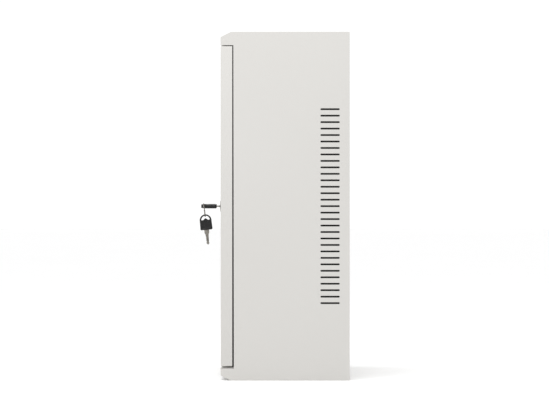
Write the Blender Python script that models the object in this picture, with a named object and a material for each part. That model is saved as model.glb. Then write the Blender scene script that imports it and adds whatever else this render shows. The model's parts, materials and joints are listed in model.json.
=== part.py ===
"""A wall-hung sheet-steel battery box with a locking door, as an assembly of separate pieces.

Metres, +Z up. The front faces -Y and the right-hand side, as seen from the front, faces +X.
The origin is the centre of the rear face, the face that goes against the wall.
The box has two battery bays, one over the other, vent slots with dust filters in both sides,
a breaker and two terminals on a rail, and a door on two pivot pins with a keyed cam lock.
"""

import math

import bmesh
import bpy
from mathutils import Matrix, Vector

# ---- Driving dimensions ------------------------------------------------------------------
WIDTH = 0.400
DEPTH = 0.222
HEIGHT = 0.600
SHEET = 0.0012
GAP = 0.0003

HALF_WIDTH = WIDTH / 2
HALF_HEIGHT = HEIGHT / 2
INNER_X = HALF_WIDTH - SHEET
FITTED_X = INNER_X - GAP
INNER_Z = HALF_HEIGHT - SHEET
FITTED_Z = INNER_Z - GAP
FRONT = -DEPTH
BACK_INNER = -SHEET
EDGE_BEVEL = 0.0004
BEND = 0.0018

# The noses are full-width bars over and under the door, flush with it, with a sloped edge.
NOSE_HEIGHT = 0.022
NOSE_SLOPE_HEIGHT = 0.009
NOSE_SLOPE_DEPTH = 0.018
NOSE_LIP = HALF_HEIGHT - NOSE_HEIGHT

# The door is a pan whose side returns fill the notch in the side panels.
DOOR_DEPTH = 0.020
DOOR_REAR = FRONT + DOOR_DEPTH
DOOR_INNER = FRONT + SHEET
DOOR_HALF_HEIGHT = NOSE_LIP - 0.0025
DOOR_HEM = 0.012
DOOR_BEND = 0.0020

# The front frame behind the door, folded from the side panels and the noses.
FRAME_FRONT = DOOR_REAR + 0.0028
FRAME_REAR = FRAME_FRONT + SHEET
FRAME_WIDTH = 0.020
RAIL_WIDTH = 0.018
FRAME_CORNER = NOSE_LIP - RAIL_WIDTH - 0.0005

# Vent slots, in one upright column near the rear edge of each side, and their filters.
SLOT_COUNT = 31
SLOT_PITCH = 0.01112
SLOT_LENGTH = 0.033
SLOT_HEIGHT = 0.0026
SLOT_CENTRE_Y = -0.0337
FILTER_HALF_WIDTH = 0.0235
FILTER_HALF_HEIGHT = 0.183
FILTER_THICKNESS = 0.005
RETAINER_SHEET = 0.0010
RETAINER_BORDER = 0.005
RETAINER_WINDOWS = 7
STUD_Z = FILTER_HALF_HEIGHT + 0.009
STUD_RADIUS = 0.0015
SMALL_NUT_FLATS = 0.0055

# Door pivots.
PIVOT_X = -HALF_WIDTH + 0.006
PIVOT_Y = DOOR_REAR - 0.008
PIN_RADIUS = 0.0025
PIN_HOLE = 0.0029
BUSH_RADIUS = 0.0045
BUFFER_RADIUS = 0.0040
BUFFER_PLACES = {"right": (0.189, 0.217), "left": (-0.120, 0.2695)}

# Lock and keys. A key is measured from the top of its bow.
LOCK_X = 0.155
LOCK_FRONT = FRONT - 0.0018
HEAD_RADIUS = 0.0100
BARREL_RADIUS = 0.0082
PLUG_BORE = 0.0063
PLUG_RADIUS = 0.0060
BARREL_REAR = FRAME_FRONT + 0.0002
PLUG_REAR = BARREL_REAR + 0.0010
CAM_FRONT = PLUG_REAR + 0.0005
CAM_SHEET = 0.0020
CAM_REACH = 0.030
TAIL = 0.0054
KEY_LENGTH = 0.0527
BOW_LENGTH = 0.0270
BOW_RADIUS = 0.01025
BOW_THICKNESS = 0.0062
BOW_CHAMFER = 0.0010
RECESS = (0.0068, 0.0125, 0.0238)
RECESS_DEPTH = 0.0004
BOW_HOLE_RADIUS = 0.0076
BLADE_WIDTH = 0.0076
BLADE_THICKNESS = 0.0020
BLADE_TANG = 0.0050
KEY_TOP = FRONT - 0.0347

# The ring hangs on the bow of the key in the lock, and the spare key hangs on the ring.
RING_RADIUS = 0.0112
RING_WIRE = 0.0015
RING_WIDTH = 0.0019
RING_X = LOCK_X + 0.00675
RING_Y = FRONT - 0.0297
RING_DROP = 0.0069
RING_TILT = math.radians(7)
SPARE_TILT = math.radians(6)
SPARE_HANG = 0.0038

# Shelf.
SHELF_TOP = -0.030
SHELF_SHEET = 0.0015
SHELF_HALF_WIDTH = 0.186
SHELF_FRONT = -0.188
SHELF_REAR = -0.006
SHELF_LIP = 0.012
BRACKET_FRONT = -0.185
BRACKET_REAR = -0.072
BRACKET_DROP = 0.030
BRACKET_WIDTH = 0.025
SCREW_X = 0.1805
SCREW_YS = {"front": -0.170, "rear": -0.090}
SCREW_RADIUS = 0.0024
SCREW_HOLE = 0.0028
MAT_THICKNESS = 0.003
MAT_HALF_WIDTH = 0.174

# Rail, and what is clipped to it.
RAIL_Z = 0.238
RAIL_FRONT = -0.0090
RAIL_SHEET = 0.0010
RAIL_HALF_LENGTH = 0.110
RAIL_SCREW_X = 0.095
BREAKER_X = -0.014
BREAKER_WIDTH = 0.036
BREAKER_HALF_HEIGHT = 0.0425
LEVER_Y = -0.0640
LEVER_REST = math.radians(-38)
TERMINAL_WIDTH = 0.010
STOP_WIDTH = 0.008
EARTH_X = -0.172
EARTH_Z = 0.225


# ---- Materials ---------------------------------------------------------------------------
def make_material(name, colour, roughness, metallic=0.0):
    material = bpy.data.materials.new(name)
    material.use_nodes = True
    shader = material.node_tree.nodes["Principled BSDF"]
    shader.inputs["Base Color"].default_value = (*colour, 1.0)
    shader.inputs["Roughness"].default_value = roughness
    shader.inputs["Metallic"].default_value = metallic
    return material


def make_materials():
    return {
        "paint": make_material("paint", (0.70, 0.69, 0.66), 0.45),
        "zinc": make_material("zinc", (0.62, 0.62, 0.60), 0.35, 1.0),
        "nickel": make_material("nickel", (0.66, 0.64, 0.60), 0.25, 1.0),
        "key_plastic": make_material("key_plastic", (0.02, 0.02, 0.02), 0.45),
        "foam": make_material("foam", (0.02, 0.02, 0.02), 0.95),
        "rubber": make_material("rubber", (0.03, 0.03, 0.03), 0.80),
        "case_plastic": make_material("case_plastic", (0.72, 0.72, 0.70), 0.50),
        "dark_plastic": make_material("dark_plastic", (0.03, 0.03, 0.035), 0.40),
        "red_plastic": make_material("red_plastic", (0.55, 0.03, 0.02), 0.45),
    }


# ---- Shapes ------------------------------------------------------------------------------
PLANES = {
    "X": lambda a, b, out: (out, a, b),
    "Y": lambda a, b, out: (a, out, b),
    "Z": lambda a, b, out: (a, b, out),
}

TURNS = {
    "+Z": Matrix.Identity(4),
    "-Z": Matrix.Rotation(math.pi, 4, "X"),
    "+Y": Matrix.Rotation(-math.pi / 2, 4, "X"),
    "-Y": Matrix.Rotation(math.pi / 2, 4, "X"),
    "+X": Matrix.Rotation(math.pi / 2, 4, "Y"),
    "-X": Matrix.Rotation(-math.pi / 2, 4, "Y"),
}


def mesh_from(shape, name):
    """A closed bmesh as a mesh, with its faces pointing out and its round sides smooth."""
    bmesh.ops.recalc_face_normals(shape, faces=shape.faces)
    mesh = bpy.data.meshes.new(name)
    shape.to_mesh(mesh)
    shape.free()
    mesh.shade_smooth()
    mesh.set_sharp_from_angle(angle=math.radians(35))
    return mesh


def block(name, low, high):
    """A box between two corners."""
    shape = bmesh.new()
    bmesh.ops.create_cube(shape, size=1.0)
    bmesh.ops.scale(shape, vec=Vector(high) - Vector(low), verts=shape.verts)
    bmesh.ops.translate(shape, vec=(Vector(high) + Vector(low)) / 2, verts=shape.verts)
    return mesh_from(shape, name)


def plate(name, outline, axis, start, end, bevels=()):
    """An outline in the plane across an axis, extruded along it from start to end.

    bevels names the ends whose rim is chamfered, each with the chamfer's width.
    """
    shape = bmesh.new()
    place = PLANES[axis]
    lower = [shape.verts.new(place(a, b, start)) for a, b in outline]
    upper = [shape.verts.new(place(a, b, end)) for a, b in outline]
    caps = {"start": shape.faces.new(lower), "end": shape.faces.new(upper)}
    count = len(outline)
    for index in range(count):
        after = (index + 1) % count
        shape.faces.new((lower[index], lower[after], upper[after], upper[index]))
    bmesh.ops.recalc_face_normals(shape, faces=shape.faces)
    for which, width in bevels:
        rim = list(caps[which].edges)
        bmesh.ops.bevel(shape, geom=rim, offset=width, segments=1, affect="EDGES")
    return mesh_from(shape, name)


def turned(name, profile, sides):
    """(radius, height) points spun about Z. A profile that starts on the axis makes a solid."""
    shape = bmesh.new()
    points = [shape.verts.new((radius, 0.0, height)) for radius, height in profile]
    edges = [shape.edges.new(pair) for pair in zip(points, points[1:])]
    if profile[0][0] > 0:
        edges.append(shape.edges.new((points[-1], points[0])))
    bmesh.ops.spin(
        shape, geom=points + edges, axis=(0, 0, 1), cent=(0, 0, 0),
        angle=math.tau, steps=sides, use_merge=True,
    )
    bmesh.ops.remove_doubles(shape, verts=shape.verts, dist=1e-6)
    return mesh_from(shape, name)


def aimed(mesh, direction, at):
    """Turns a mesh made along +Z to point another way, and moves its base to a place."""
    mesh.transform(Matrix.Translation(at) @ TURNS[direction])
    return mesh


def rod(name, radius, length, direction, at, sides=12):
    profile = [(0, 0), (radius, 0), (radius, length), (0, length)]
    return aimed(turned(name, profile, sides), direction, at)


def tube(name, radius, bore, length, direction, at, sides=16):
    profile = [(bore, 0), (radius, 0), (radius, length), (bore, length)]
    return aimed(turned(name, profile, sides), direction, at)


def arc(centre, radius, first, last, steps):
    """Points along an arc, in degrees anticlockwise from the first axis."""
    angles = [math.radians(first + (last - first) * step / steps) for step in range(steps + 1)]
    return [(centre[0] + radius * math.cos(a), centre[1] + radius * math.sin(a)) for a in angles]


def rounded(path, radius, steps=3, closed=False):
    """A path with an arc at each corner."""
    result = []
    count = len(path)
    for index, point in enumerate(path):
        here = Vector(point)
        if not closed and index in (0, count - 1):
            result.append(tuple(here))
            continue
        before = (Vector(path[index - 1]) - here).normalized()
        after = (Vector(path[(index + 1) % count]) - here).normalized()
        half = before.angle(after) / 2
        reach = radius / math.tan(half)
        centre = here + (before + after).normalized() * (radius / math.sin(half))
        first = (here + before * reach - centre).normalized()
        last = (here + after * reach - centre).normalized()
        arms = [first.slerp(last, step / steps) for step in range(steps + 1)]
        result += [tuple(centre + arm * radius) for arm in arms]
    return result


def folded(path, thickness):
    """The outline of a folded sheet: the path is one skin, and the other lies to its left."""
    other = []
    count = len(path)
    for index, point in enumerate(path):
        here = Vector(point)
        arriving = here - Vector(path[max(index - 1, 0)])
        leaving = Vector(path[min(index + 1, count - 1)]) - here
        arriving = (arriving if index else leaving).normalized()
        leaving = (leaving if index < count - 1 else arriving).normalized()
        along = (arriving + leaving).normalized()
        left = Vector((-along.y, along.x))
        other.append(tuple(here + left * (thickness / along.dot(arriving))))
    return list(path) + other[::-1]


def flipped(outline):
    """The outline upside down."""
    return [(a, -b) for a, b in reversed(outline)]


def hexagon(flats, at, turn=0.0):
    return arc(at, flats / math.sqrt(3), turn, turn + 300, 5)


# ---- Objects -----------------------------------------------------------------------------
def add_object(name, mesh, material, parent=None):
    """Links the mesh as a named object. Under a parent empty it keeps its place in the world."""
    thing = bpy.data.objects.new(name, mesh)
    bpy.context.scene.collection.objects.link(thing)
    mesh.materials.append(material)
    if parent:
        thing.parent = parent
        thing.matrix_parent_inverse = parent.matrix_world.inverted()
    return thing


def add_pivot(name, location, parent=None):
    """An empty on a joint's axis, which carries the pieces that move about it."""
    empty = bpy.data.objects.new(name, None)
    bpy.context.scene.collection.objects.link(empty)
    empty.location = location
    if parent:
        empty.parent = parent
        empty.matrix_parent_inverse = parent.matrix_world.inverted()
    bpy.context.view_layer.update()
    return empty


def add_helper(mesh):
    """A shape that only cuts or joins, and isn't a piece of the box."""
    helper = bpy.data.objects.new("helper_" + mesh.name, mesh)
    bpy.context.scene.collection.objects.link(helper)
    helper.hide_render = True
    helper.display_type = "WIRE"
    return helper


def combine(thing, helper, operation):
    modifier = thing.modifiers.new("Boolean", "BOOLEAN")
    modifier.operation = operation
    modifier.object = helper
    modifier.solver = "EXACT"


def cut(thing, *meshes):
    for mesh in meshes:
        combine(thing, add_helper(mesh), "DIFFERENCE")


def join(thing, *meshes):
    for mesh in meshes:
        combine(thing, add_helper(mesh), "UNION")


# ---- The case ----------------------------------------------------------------------------
def nose_path():
    """The top panel's outer skin in Y and Z: roof, slope, nose, lip and frame rail."""
    return [
        (0.0, HALF_HEIGHT),
        (FRONT + NOSE_SLOPE_DEPTH, HALF_HEIGHT),
        (FRONT, HALF_HEIGHT - NOSE_SLOPE_HEIGHT),
        (FRONT, NOSE_LIP),
        (FRAME_FRONT, NOSE_LIP),
        (FRAME_FRONT, NOSE_LIP - RAIL_WIDTH),
    ]


def make_slot_helper():
    """One vent slot with round ends, through both sides, repeated upwards by an Array."""
    radius = SLOT_HEIGHT / 2
    run = SLOT_LENGTH / 2 - radius
    first_z = -(SLOT_COUNT - 1) * SLOT_PITCH / 2
    outline = arc((SLOT_CENTRE_Y + run, first_z), radius, -90, 90, 4)
    outline += arc((SLOT_CENTRE_Y - run, first_z), radius, 90, 270, 4)
    reach = HALF_WIDTH + 0.01
    helper = add_helper(plate("vent_slots", outline, "X", -reach, reach))
    array = helper.modifiers.new("Array", "ARRAY")
    array.count = SLOT_COUNT
    array.use_relative_offset = False
    array.use_constant_offset = True
    array.constant_offset_displace = (0.0, 0.0, SLOT_PITCH)
    return helper


def make_side_panel(name, side, slots, materials):
    """side is +1 for the right-hand panel and -1 for the left."""
    upper = nose_path()[:5]
    outline = upper + flipped(upper)
    web = plate(name, outline, "X", side * INNER_X, side * HALF_WIDTH, [("end", EDGE_BEVEL)])
    panel = add_object(name, web, materials["paint"])
    inner = side * (HALF_WIDTH - FRAME_WIDTH)
    outer = side * (HALF_WIDTH - EDGE_BEVEL)
    low = (min(inner, outer), FRAME_FRONT, -FRAME_CORNER)
    high = (max(inner, outer), FRAME_REAR, FRAME_CORNER)
    join(panel, block(name + "_frame", low, high))
    combine(panel, slots, "DIFFERENCE")
    for label, z in (("upper", STUD_Z), ("lower", -STUD_Z)):
        at = (side * (HALF_WIDTH - SHEET / 2), SLOT_CENTRE_Y, z)
        stud = rod(f"{name}_stud_{label}", STUD_RADIUS, 0.0105, "-X" if side > 0 else "+X", at, 10)
        join(panel, stud)


def keyhole(x, z):
    """A round hole for a screw's head, with a slot above it for the shank."""
    head, shank, lift = 0.0055, 0.00275, 0.0110
    turn = math.degrees(math.asin(shank / head))
    outline = arc((x, z), head, 90 + turn, 450 - turn, 12)
    return outline + arc((x, z + lift), shank, 0, 180, 4)


def make_back_panel(materials):
    low = (-FITTED_X, BACK_INNER, -FITTED_Z)
    mesh = block("back_panel", low, (FITTED_X, 0.0, FITTED_Z))
    panel = add_object("back_panel", mesh, materials["paint"])
    for x in (-0.150, 0.150):
        for z in (-0.245, 0.262):
            outline = keyhole(x, z)
            cut(panel, plate(f"keyhole_{x}_{z}", outline, "Y", -0.01, 0.01))


def ring_slit(name, x, y, first):
    """Part of the narrow ring that lets a knock-out disc be pushed out."""
    outline = arc((x, y), 0.0118, first, first + 150, 8) + arc((x, y), 0.0108, first + 150, first, 8)
    return plate(name, outline, "Z", -HALF_HEIGHT - 0.01, -INNER_Z + 0.01)


def make_top_and_bottom(materials):
    outline = folded(rounded(nose_path(), BEND), SHEET)
    top = plate("top_panel", outline, "X", -FITTED_X, FITTED_X)
    bottom = plate("bottom_panel", flipped(outline), "X", -FITTED_X, FITTED_X)
    for mesh, side in ((top, 1), (bottom, -1)):
        panel = add_object(mesh.name, mesh, materials["paint"])
        low = side * NOSE_LIP - 0.005
        cut(panel, rod(mesh.name + "_pin", PIN_HOLE, 0.010, "+Z", (PIVOT_X, PIVOT_Y, low), 12))
        if side < 0:
            for x in (-0.120, 0.0, 0.120):
                for first in (15, 195):
                    cut(panel, ring_slit(f"knock_out_{x}_{first}", x, -0.032, first))


def make_filter(name, side, materials):
    """A foam pad behind the slots, its windowed steel retainer, and the two nuts that hold it."""
    def span(near, far):
        return sorted((side * near, side * far))

    pad_x = FITTED_X - FILTER_THICKNESS
    back, front = SLOT_CENTRE_Y + FILTER_HALF_WIDTH, SLOT_CENTRE_Y - FILTER_HALF_WIDTH
    inner, outer = span(pad_x, FITTED_X)
    low = (inner, front, -FILTER_HALF_HEIGHT)
    high = (outer, back, FILTER_HALF_HEIGHT)
    add_object("vent_filter_" + name, block("vent_filter", low, high), materials["foam"])

    sheet_x = pad_x - GAP
    inner, outer = span(sheet_x - RETAINER_SHEET, sheet_x)
    reach = STUD_Z + 0.005
    low = (inner, front, -reach)
    frame = add_object(
        "filter_frame_" + name, block("filter_frame", low, (outer, back, reach)), materials["zinc"],
    )
    pitch = 2 * (FILTER_HALF_HEIGHT - RETAINER_BORDER / 2) / RETAINER_WINDOWS
    for index in range(RETAINER_WINDOWS):
        middle = (index - (RETAINER_WINDOWS - 1) / 2) * pitch
        half = (pitch - RETAINER_BORDER) / 2
        low = (inner - 0.01, front + RETAINER_BORDER, middle - half)
        high = (outer + 0.01, back - RETAINER_BORDER, middle + half)
        cut(frame, block(f"window_{name}_{index}", low, high))
    for label, z in (("upper", STUD_Z), ("lower", -STUD_Z)):
        at = (side * (sheet_x - 0.01), SLOT_CENTRE_Y, z)
        outward = "+X" if side > 0 else "-X"
        cut(frame, rod(f"stud_hole_{name}_{label}", 0.0019, 0.02, outward, at, 10))
        nut_x = sheet_x - RETAINER_SHEET - GAP
        near, far = span(nut_x - 0.0024, nut_x)
        outline = hexagon(SMALL_NUT_FLATS, (SLOT_CENTRE_Y, z))
        nut_name = f"filter_nut_{label}_{name}"
        nut = add_object(nut_name, plate(nut_name, outline, "X", near, far), materials["zinc"])
        cut(nut, rod(nut_name + "_hole", 0.0018, 0.02, outward, at, 10))


# ---- Inside ------------------------------------------------------------------------------
def make_screw(name, direction, at, head, materials, shank=0.006):
    """A pan-head screw. at is where its head rests."""
    lift = 0.0024
    profile = [
        (0, -shank), (SCREW_RADIUS, -shank), (SCREW_RADIUS, 0), (head, 0),
        (head, lift * 0.45), (head * 0.72, lift), (0, lift),
    ]
    add_object(name, aimed(turned(name, profile, 12), direction, at), materials["zinc"])


def make_shelf(materials):
    """A flat shelf with a retaining strip welded along each long edge, on two angle brackets."""
    low = SHELF_TOP - SHELF_SHEET
    near, far = (-SHELF_HALF_WIDTH, SHELF_FRONT, low), (SHELF_HALF_WIDTH, SHELF_REAR, SHELF_TOP)
    shelf = add_object("battery_shelf", block("battery_shelf", near, far), materials["paint"])
    for label, edge in (("front", SHELF_FRONT), ("rear", SHELF_REAR - SHELF_SHEET)):
        name = "battery_shelf_lip_" + label
        near = (-SHELF_HALF_WIDTH, edge, SHELF_TOP + GAP)
        far = (SHELF_HALF_WIDTH, edge + SHELF_SHEET, SHELF_TOP + SHELF_LIP)
        add_object(name, block(name, near, far), materials["paint"])
    leg_top = low - GAP
    for side_name, side in (("right", 1), ("left", -1)):
        path = [
            (side * FITTED_X, leg_top - BRACKET_DROP), (side * FITTED_X, leg_top),
            (side * (FITTED_X - BRACKET_WIDTH), leg_top),
        ]
        outline = folded(rounded(path, 0.0022), side * SHELF_SHEET)
        name = "shelf_bracket_" + side_name
        mesh = plate(name, outline, "Y", BRACKET_FRONT, BRACKET_REAR)
        bracket = add_object(name, mesh, materials["paint"])
        for end, y in SCREW_YS.items():
            at = (side * SCREW_X, y, low - 0.01)
            hole = rod(f"screw_hole_{end}_{side_name}", SCREW_HOLE, 0.02, "+Z", at)
            helper = add_helper(hole)
            combine(shelf, helper, "DIFFERENCE")
            combine(bracket, helper, "DIFFERENCE")
            at = (side * SCREW_X, y, SHELF_TOP + GAP)
            make_screw(f"shelf_screw_{end}_{side_name}", "+Z", at, 0.0045, materials)


def make_mats(materials):
    for name, floor, front, rear in (
        ("shelf_mat", SHELF_TOP, -0.183, -0.011),
        ("floor_mat", -INNER_Z, -0.190, -0.052),
    ):
        low = (-MAT_HALF_WIDTH, front, floor + GAP)
        high = (MAT_HALF_WIDTH, rear, floor + GAP + MAT_THICKNESS)
        add_object(name, block(name, low, high), materials["rubber"])


def make_rail(materials):
    """A 35 mm hat rail on the back panel, on two screws."""
    rear = BACK_INNER - GAP
    flange = RAIL_FRONT + RAIL_SHEET
    path = [
        (flange, -0.0175), (flange, -0.0125), (rear, -0.0125),
        (rear, 0.0125), (flange, 0.0125), (flange, 0.0175),
    ]
    outline = folded(path, RAIL_SHEET)
    outline = [(y, RAIL_Z + z) for y, z in outline]
    mesh = plate("mounting_rail", outline, "X", -RAIL_HALF_LENGTH, RAIL_HALF_LENGTH)
    rail = add_object("mounting_rail", mesh, materials["zinc"])
    for side_name, side in (("right", 1), ("left", -1)):
        x = side * RAIL_SCREW_X
        cut(rail, rod("rail_hole_" + side_name, SCREW_HOLE, 0.02, "+Y", (x, -0.01, RAIL_Z)))
        at = (x, rear - RAIL_SHEET - GAP, RAIL_Z)
        make_screw("rail_screw_" + side_name, "-Y", at, 0.0042, materials, shank=0.0010)


def clip_on_outline(front_points):
    """The side view of a piece that hooks over the rail's two edges, in Y and Z."""
    face = RAIL_FRONT - GAP
    hook_front = RAIL_FRONT + RAIL_SHEET + GAP
    hook_rear = hook_front + 0.0015
    upper = [
        (face, 0.0178), (hook_front, 0.0178), (hook_front, 0.0155),
        (hook_rear, 0.0155), (hook_rear, 0.0205),
    ] + front_points
    outline = upper + flipped(upper)
    return [(y, RAIL_Z + z) for y, z in outline]


def make_breaker(materials):
    case_front, nose_front = -0.0530, -0.0700
    outline = clip_on_outline([
        (-0.0125, 0.0250), (-0.0125, BREAKER_HALF_HEIGHT), (case_front, BREAKER_HALF_HEIGHT),
        (case_front, 0.0225), (nose_front, 0.0225),
    ])
    low, high = BREAKER_X - BREAKER_WIDTH / 2, BREAKER_X + BREAKER_WIDTH / 2
    case = add_object(
        "breaker_case", plate("breaker_case", outline, "X", low, high), materials["case_plastic"],
    )
    slot_low = (BREAKER_X - 0.0110, nose_front - 0.005, RAIL_Z - 0.0130)
    slot_high = (BREAKER_X + 0.0110, LEVER_Y + 0.0055, RAIL_Z + 0.0130)
    cut(case, block("lever_slot", slot_low, slot_high))
    for pole in (-1, 1):
        for end in (-1, 1):
            at = (BREAKER_X + pole * 0.009, case_front - 0.005, RAIL_Z + end * 0.0325)
            cut(case, rod(f"breaker_screw_{pole}_{end}", 0.0036, 0.011, "+Y", at))

    pivot = add_pivot("breaker_lever_pivot", (BREAKER_X, LEVER_Y, RAIL_Z))
    hub, stick, reach = 0.0044, 0.0020, 0.0150
    turn = math.degrees(math.asin(stick / hub))
    outline = arc((0, 0), hub, 180 + turn, 540 - turn, 12)
    outline += [(-reach, stick), (-reach - 0.001, 0.0), (-reach, -stick)]
    mesh = plate("breaker_lever", outline, "X", -0.0105, 0.0105)
    mesh.transform(Matrix.Translation(pivot.location) @ Matrix.Rotation(-LEVER_REST, 4, "X"))
    add_object("breaker_lever", mesh, materials["dark_plastic"], pivot)


def make_rail_pieces(materials):
    """Two terminals beside the breaker, with an end stop at each end of the row."""
    terminal = [
        (-0.0125, 0.0225), (-0.0380, 0.0225), (-0.0380, 0.0160), (-0.0480, 0.0120), (-0.0480, 0.0050),
        (-0.0450, 0.0050),
    ]
    stop = [(-0.0125, 0.0240), (-0.0280, 0.0240), (-0.0330, 0.0150)]
    edge = BREAKER_X + BREAKER_WIDTH / 2 + GAP
    row = (
        ("terminal_positive", terminal, TERMINAL_WIDTH, "red_plastic"),
        ("terminal_negative", terminal, TERMINAL_WIDTH, "dark_plastic"),
        ("end_stop_right", stop, STOP_WIDTH, "case_plastic"),
    )
    for name, points, width, material in row:
        mesh = plate(name, clip_on_outline(points), "X", edge, edge + width)
        piece = add_object(name, mesh, materials[material])
        if material != "case_plastic":
            for end in (-1, 1):
                at = (edge + width / 2, -0.043, RAIL_Z + end * 0.0190)
                cut(piece, rod(f"{name}_screw_{end}", 0.0030, 0.012, "+Y", at))
        edge += width + GAP
    edge = BREAKER_X - BREAKER_WIDTH / 2 - GAP
    mesh = plate("end_stop_left", clip_on_outline(stop), "X", edge - STOP_WIDTH, edge)
    add_object("end_stop_left", mesh, materials["case_plastic"])


def make_earth_stud(materials):
    base = BACK_INNER - GAP
    profile = [(0, 0), (0.0060, 0), (0.0060, 0.0012), (0.0030, 0.0012), (0.0030, 0.0160), (0, 0.0160)]
    mesh = aimed(turned("earth_stud", profile, 14), "-Y", (EARTH_X, base, EARTH_Z))
    add_object("earth_stud", mesh, materials["nickel"])
    front = base - 0.0012 - GAP
    outline = hexagon(0.010, (EARTH_X, EARTH_Z))
    mesh = plate("earth_nut", outline, "Y", front - 0.0050, front)
    nut = add_object("earth_nut", mesh, materials["nickel"])
    cut(nut, rod("earth_nut_hole", 0.0033, 0.02, "-Y", (EARTH_X, 0.0, EARTH_Z), 14))


# ---- The door ----------------------------------------------------------------------------
def make_door(pivot, materials):
    """A pan with bent edges and a hem, made as one skin and given its sheet thickness."""
    shape = bmesh.new()
    bmesh.ops.create_cube(shape, size=1.0)
    bmesh.ops.scale(shape, vec=(WIDTH, DOOR_DEPTH, 2 * DOOR_HALF_HEIGHT), verts=shape.verts)
    bmesh.ops.translate(shape, vec=(0, (FRONT + DOOR_REAR) / 2, 0), verts=shape.verts)
    rear = max(shape.faces, key=lambda face: face.calc_center_median().y)
    rear_edges = set(rear.edges)
    bmesh.ops.inset_individual(shape, faces=[rear], thickness=DOOR_HEM)
    bmesh.ops.delete(shape, geom=[rear], context="FACES_ONLY")
    bent = [edge for edge in shape.edges if len(edge.link_faces) == 2 and edge not in rear_edges]
    bent = [edge for edge in bent if min(v.co.y for v in edge.verts) < DOOR_REAR - 1e-6]
    bmesh.ops.bevel(shape, geom=bent, offset=DOOR_BEND, segments=3, profile=0.5, affect="EDGES")
    bmesh.ops.recalc_face_normals(shape, faces=shape.faces)
    front = min(shape.faces, key=lambda face: face.calc_center_median().y)
    if front.normal.y > 0:
        bmesh.ops.reverse_faces(shape, faces=shape.faces)
    mesh = bpy.data.meshes.new("door_panel")
    shape.to_mesh(mesh)
    shape.free()
    mesh.shade_smooth()
    mesh.set_sharp_from_angle(angle=math.radians(40))
    door = add_object("door_panel", mesh, materials["paint"], pivot)
    skin = door.modifiers.new("Sheet", "SOLIDIFY")
    skin.thickness = SHEET
    skin.offset = -1.0
    skin.use_even_offset = True
    cut(door, rod("lock_hole", BARREL_RADIUS + GAP, 0.02, "+Y", (LOCK_X, FRONT - 0.01, 0.0), 24))
    for label, side in (("upper", 1), ("lower", -1)):
        low = side * DOOR_HALF_HEIGHT - 0.005
        cut(door, rod("pin_hole_" + label, PIN_HOLE, 0.010, "+Z", (PIVOT_X, PIVOT_Y, low), 12))


def make_hinges(pivot, materials):
    """A headed pin drops through each nose's lip into a bush in the door's end return."""
    for label, side in (("upper", 1), ("lower", -1)):
        inward = "-Z" if side > 0 else "+Z"
        head_rest = NOSE_LIP + SHEET + GAP
        tip = DOOR_HALF_HEIGHT - SHEET - GAP - 0.0085
        profile = [
            (0, 0), (0.0040, 0), (0.0040, 0.0020), (PIN_RADIUS, 0.0020),
            (PIN_RADIUS, head_rest + 0.0020 - tip), (0, head_rest + 0.0020 - tip),
        ]
        at = (PIVOT_X, PIVOT_Y, side * (head_rest + 0.0020))
        name = "hinge_pin_" + label
        add_object(name, aimed(turned(name, profile, 14), inward, at), materials["zinc"])
        name = "hinge_bush_" + label
        at = (PIVOT_X, PIVOT_Y, side * (DOOR_HALF_HEIGHT - SHEET - GAP))
        bush = tube(name, BUSH_RADIUS, PIN_HOLE, 0.0070, inward, at, 14)
        add_object(name, bush, materials["dark_plastic"], pivot)


def make_buffers(materials):
    """Rubber stops on the frame, which the shut door's hem meets."""
    thickness = FRAME_FRONT - DOOR_REAR - 2 * GAP
    for label, side in (("upper", 1), ("lower", -1)):
        for side_name, (x, z) in BUFFER_PLACES.items():
            name = f"door_buffer_{label}_{side_name}"
            mesh = rod(name, BUFFER_RADIUS, thickness, "-Y", (x, FRAME_FRONT - GAP, side * z), 14)
            add_object(name, mesh, materials["rubber"])


# ---- The lock ----------------------------------------------------------------------------
def make_lock_barrel(pivot, materials):
    length = BARREL_REAR - LOCK_FRONT
    profile = [
        (PLUG_BORE, 0.0003), (PLUG_BORE + 0.0006, 0), (HEAD_RADIUS - 0.0008, 0), (HEAD_RADIUS, 0.0006),
        (HEAD_RADIUS, 0.0015), (BARREL_RADIUS, 0.0015), (BARREL_RADIUS, length), (PLUG_BORE, length),
    ]
    mesh = aimed(turned("lock_barrel", profile, 24), "+Y", (LOCK_X, LOCK_FRONT, 0.0))
    add_object("lock_barrel", mesh, materials["nickel"], pivot)
    near = DOOR_INNER + GAP
    mesh = plate("lock_nut", hexagon(0.022, (LOCK_X, 0.0)), "Y", near, near + 0.0035)
    nut = add_object("lock_nut", mesh, materials["nickel"], pivot)
    cut(nut, rod("lock_nut_hole", BARREL_RADIUS + GAP, 0.02, "+Y", (LOCK_X, near - 0.01, 0.0), 24))


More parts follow.
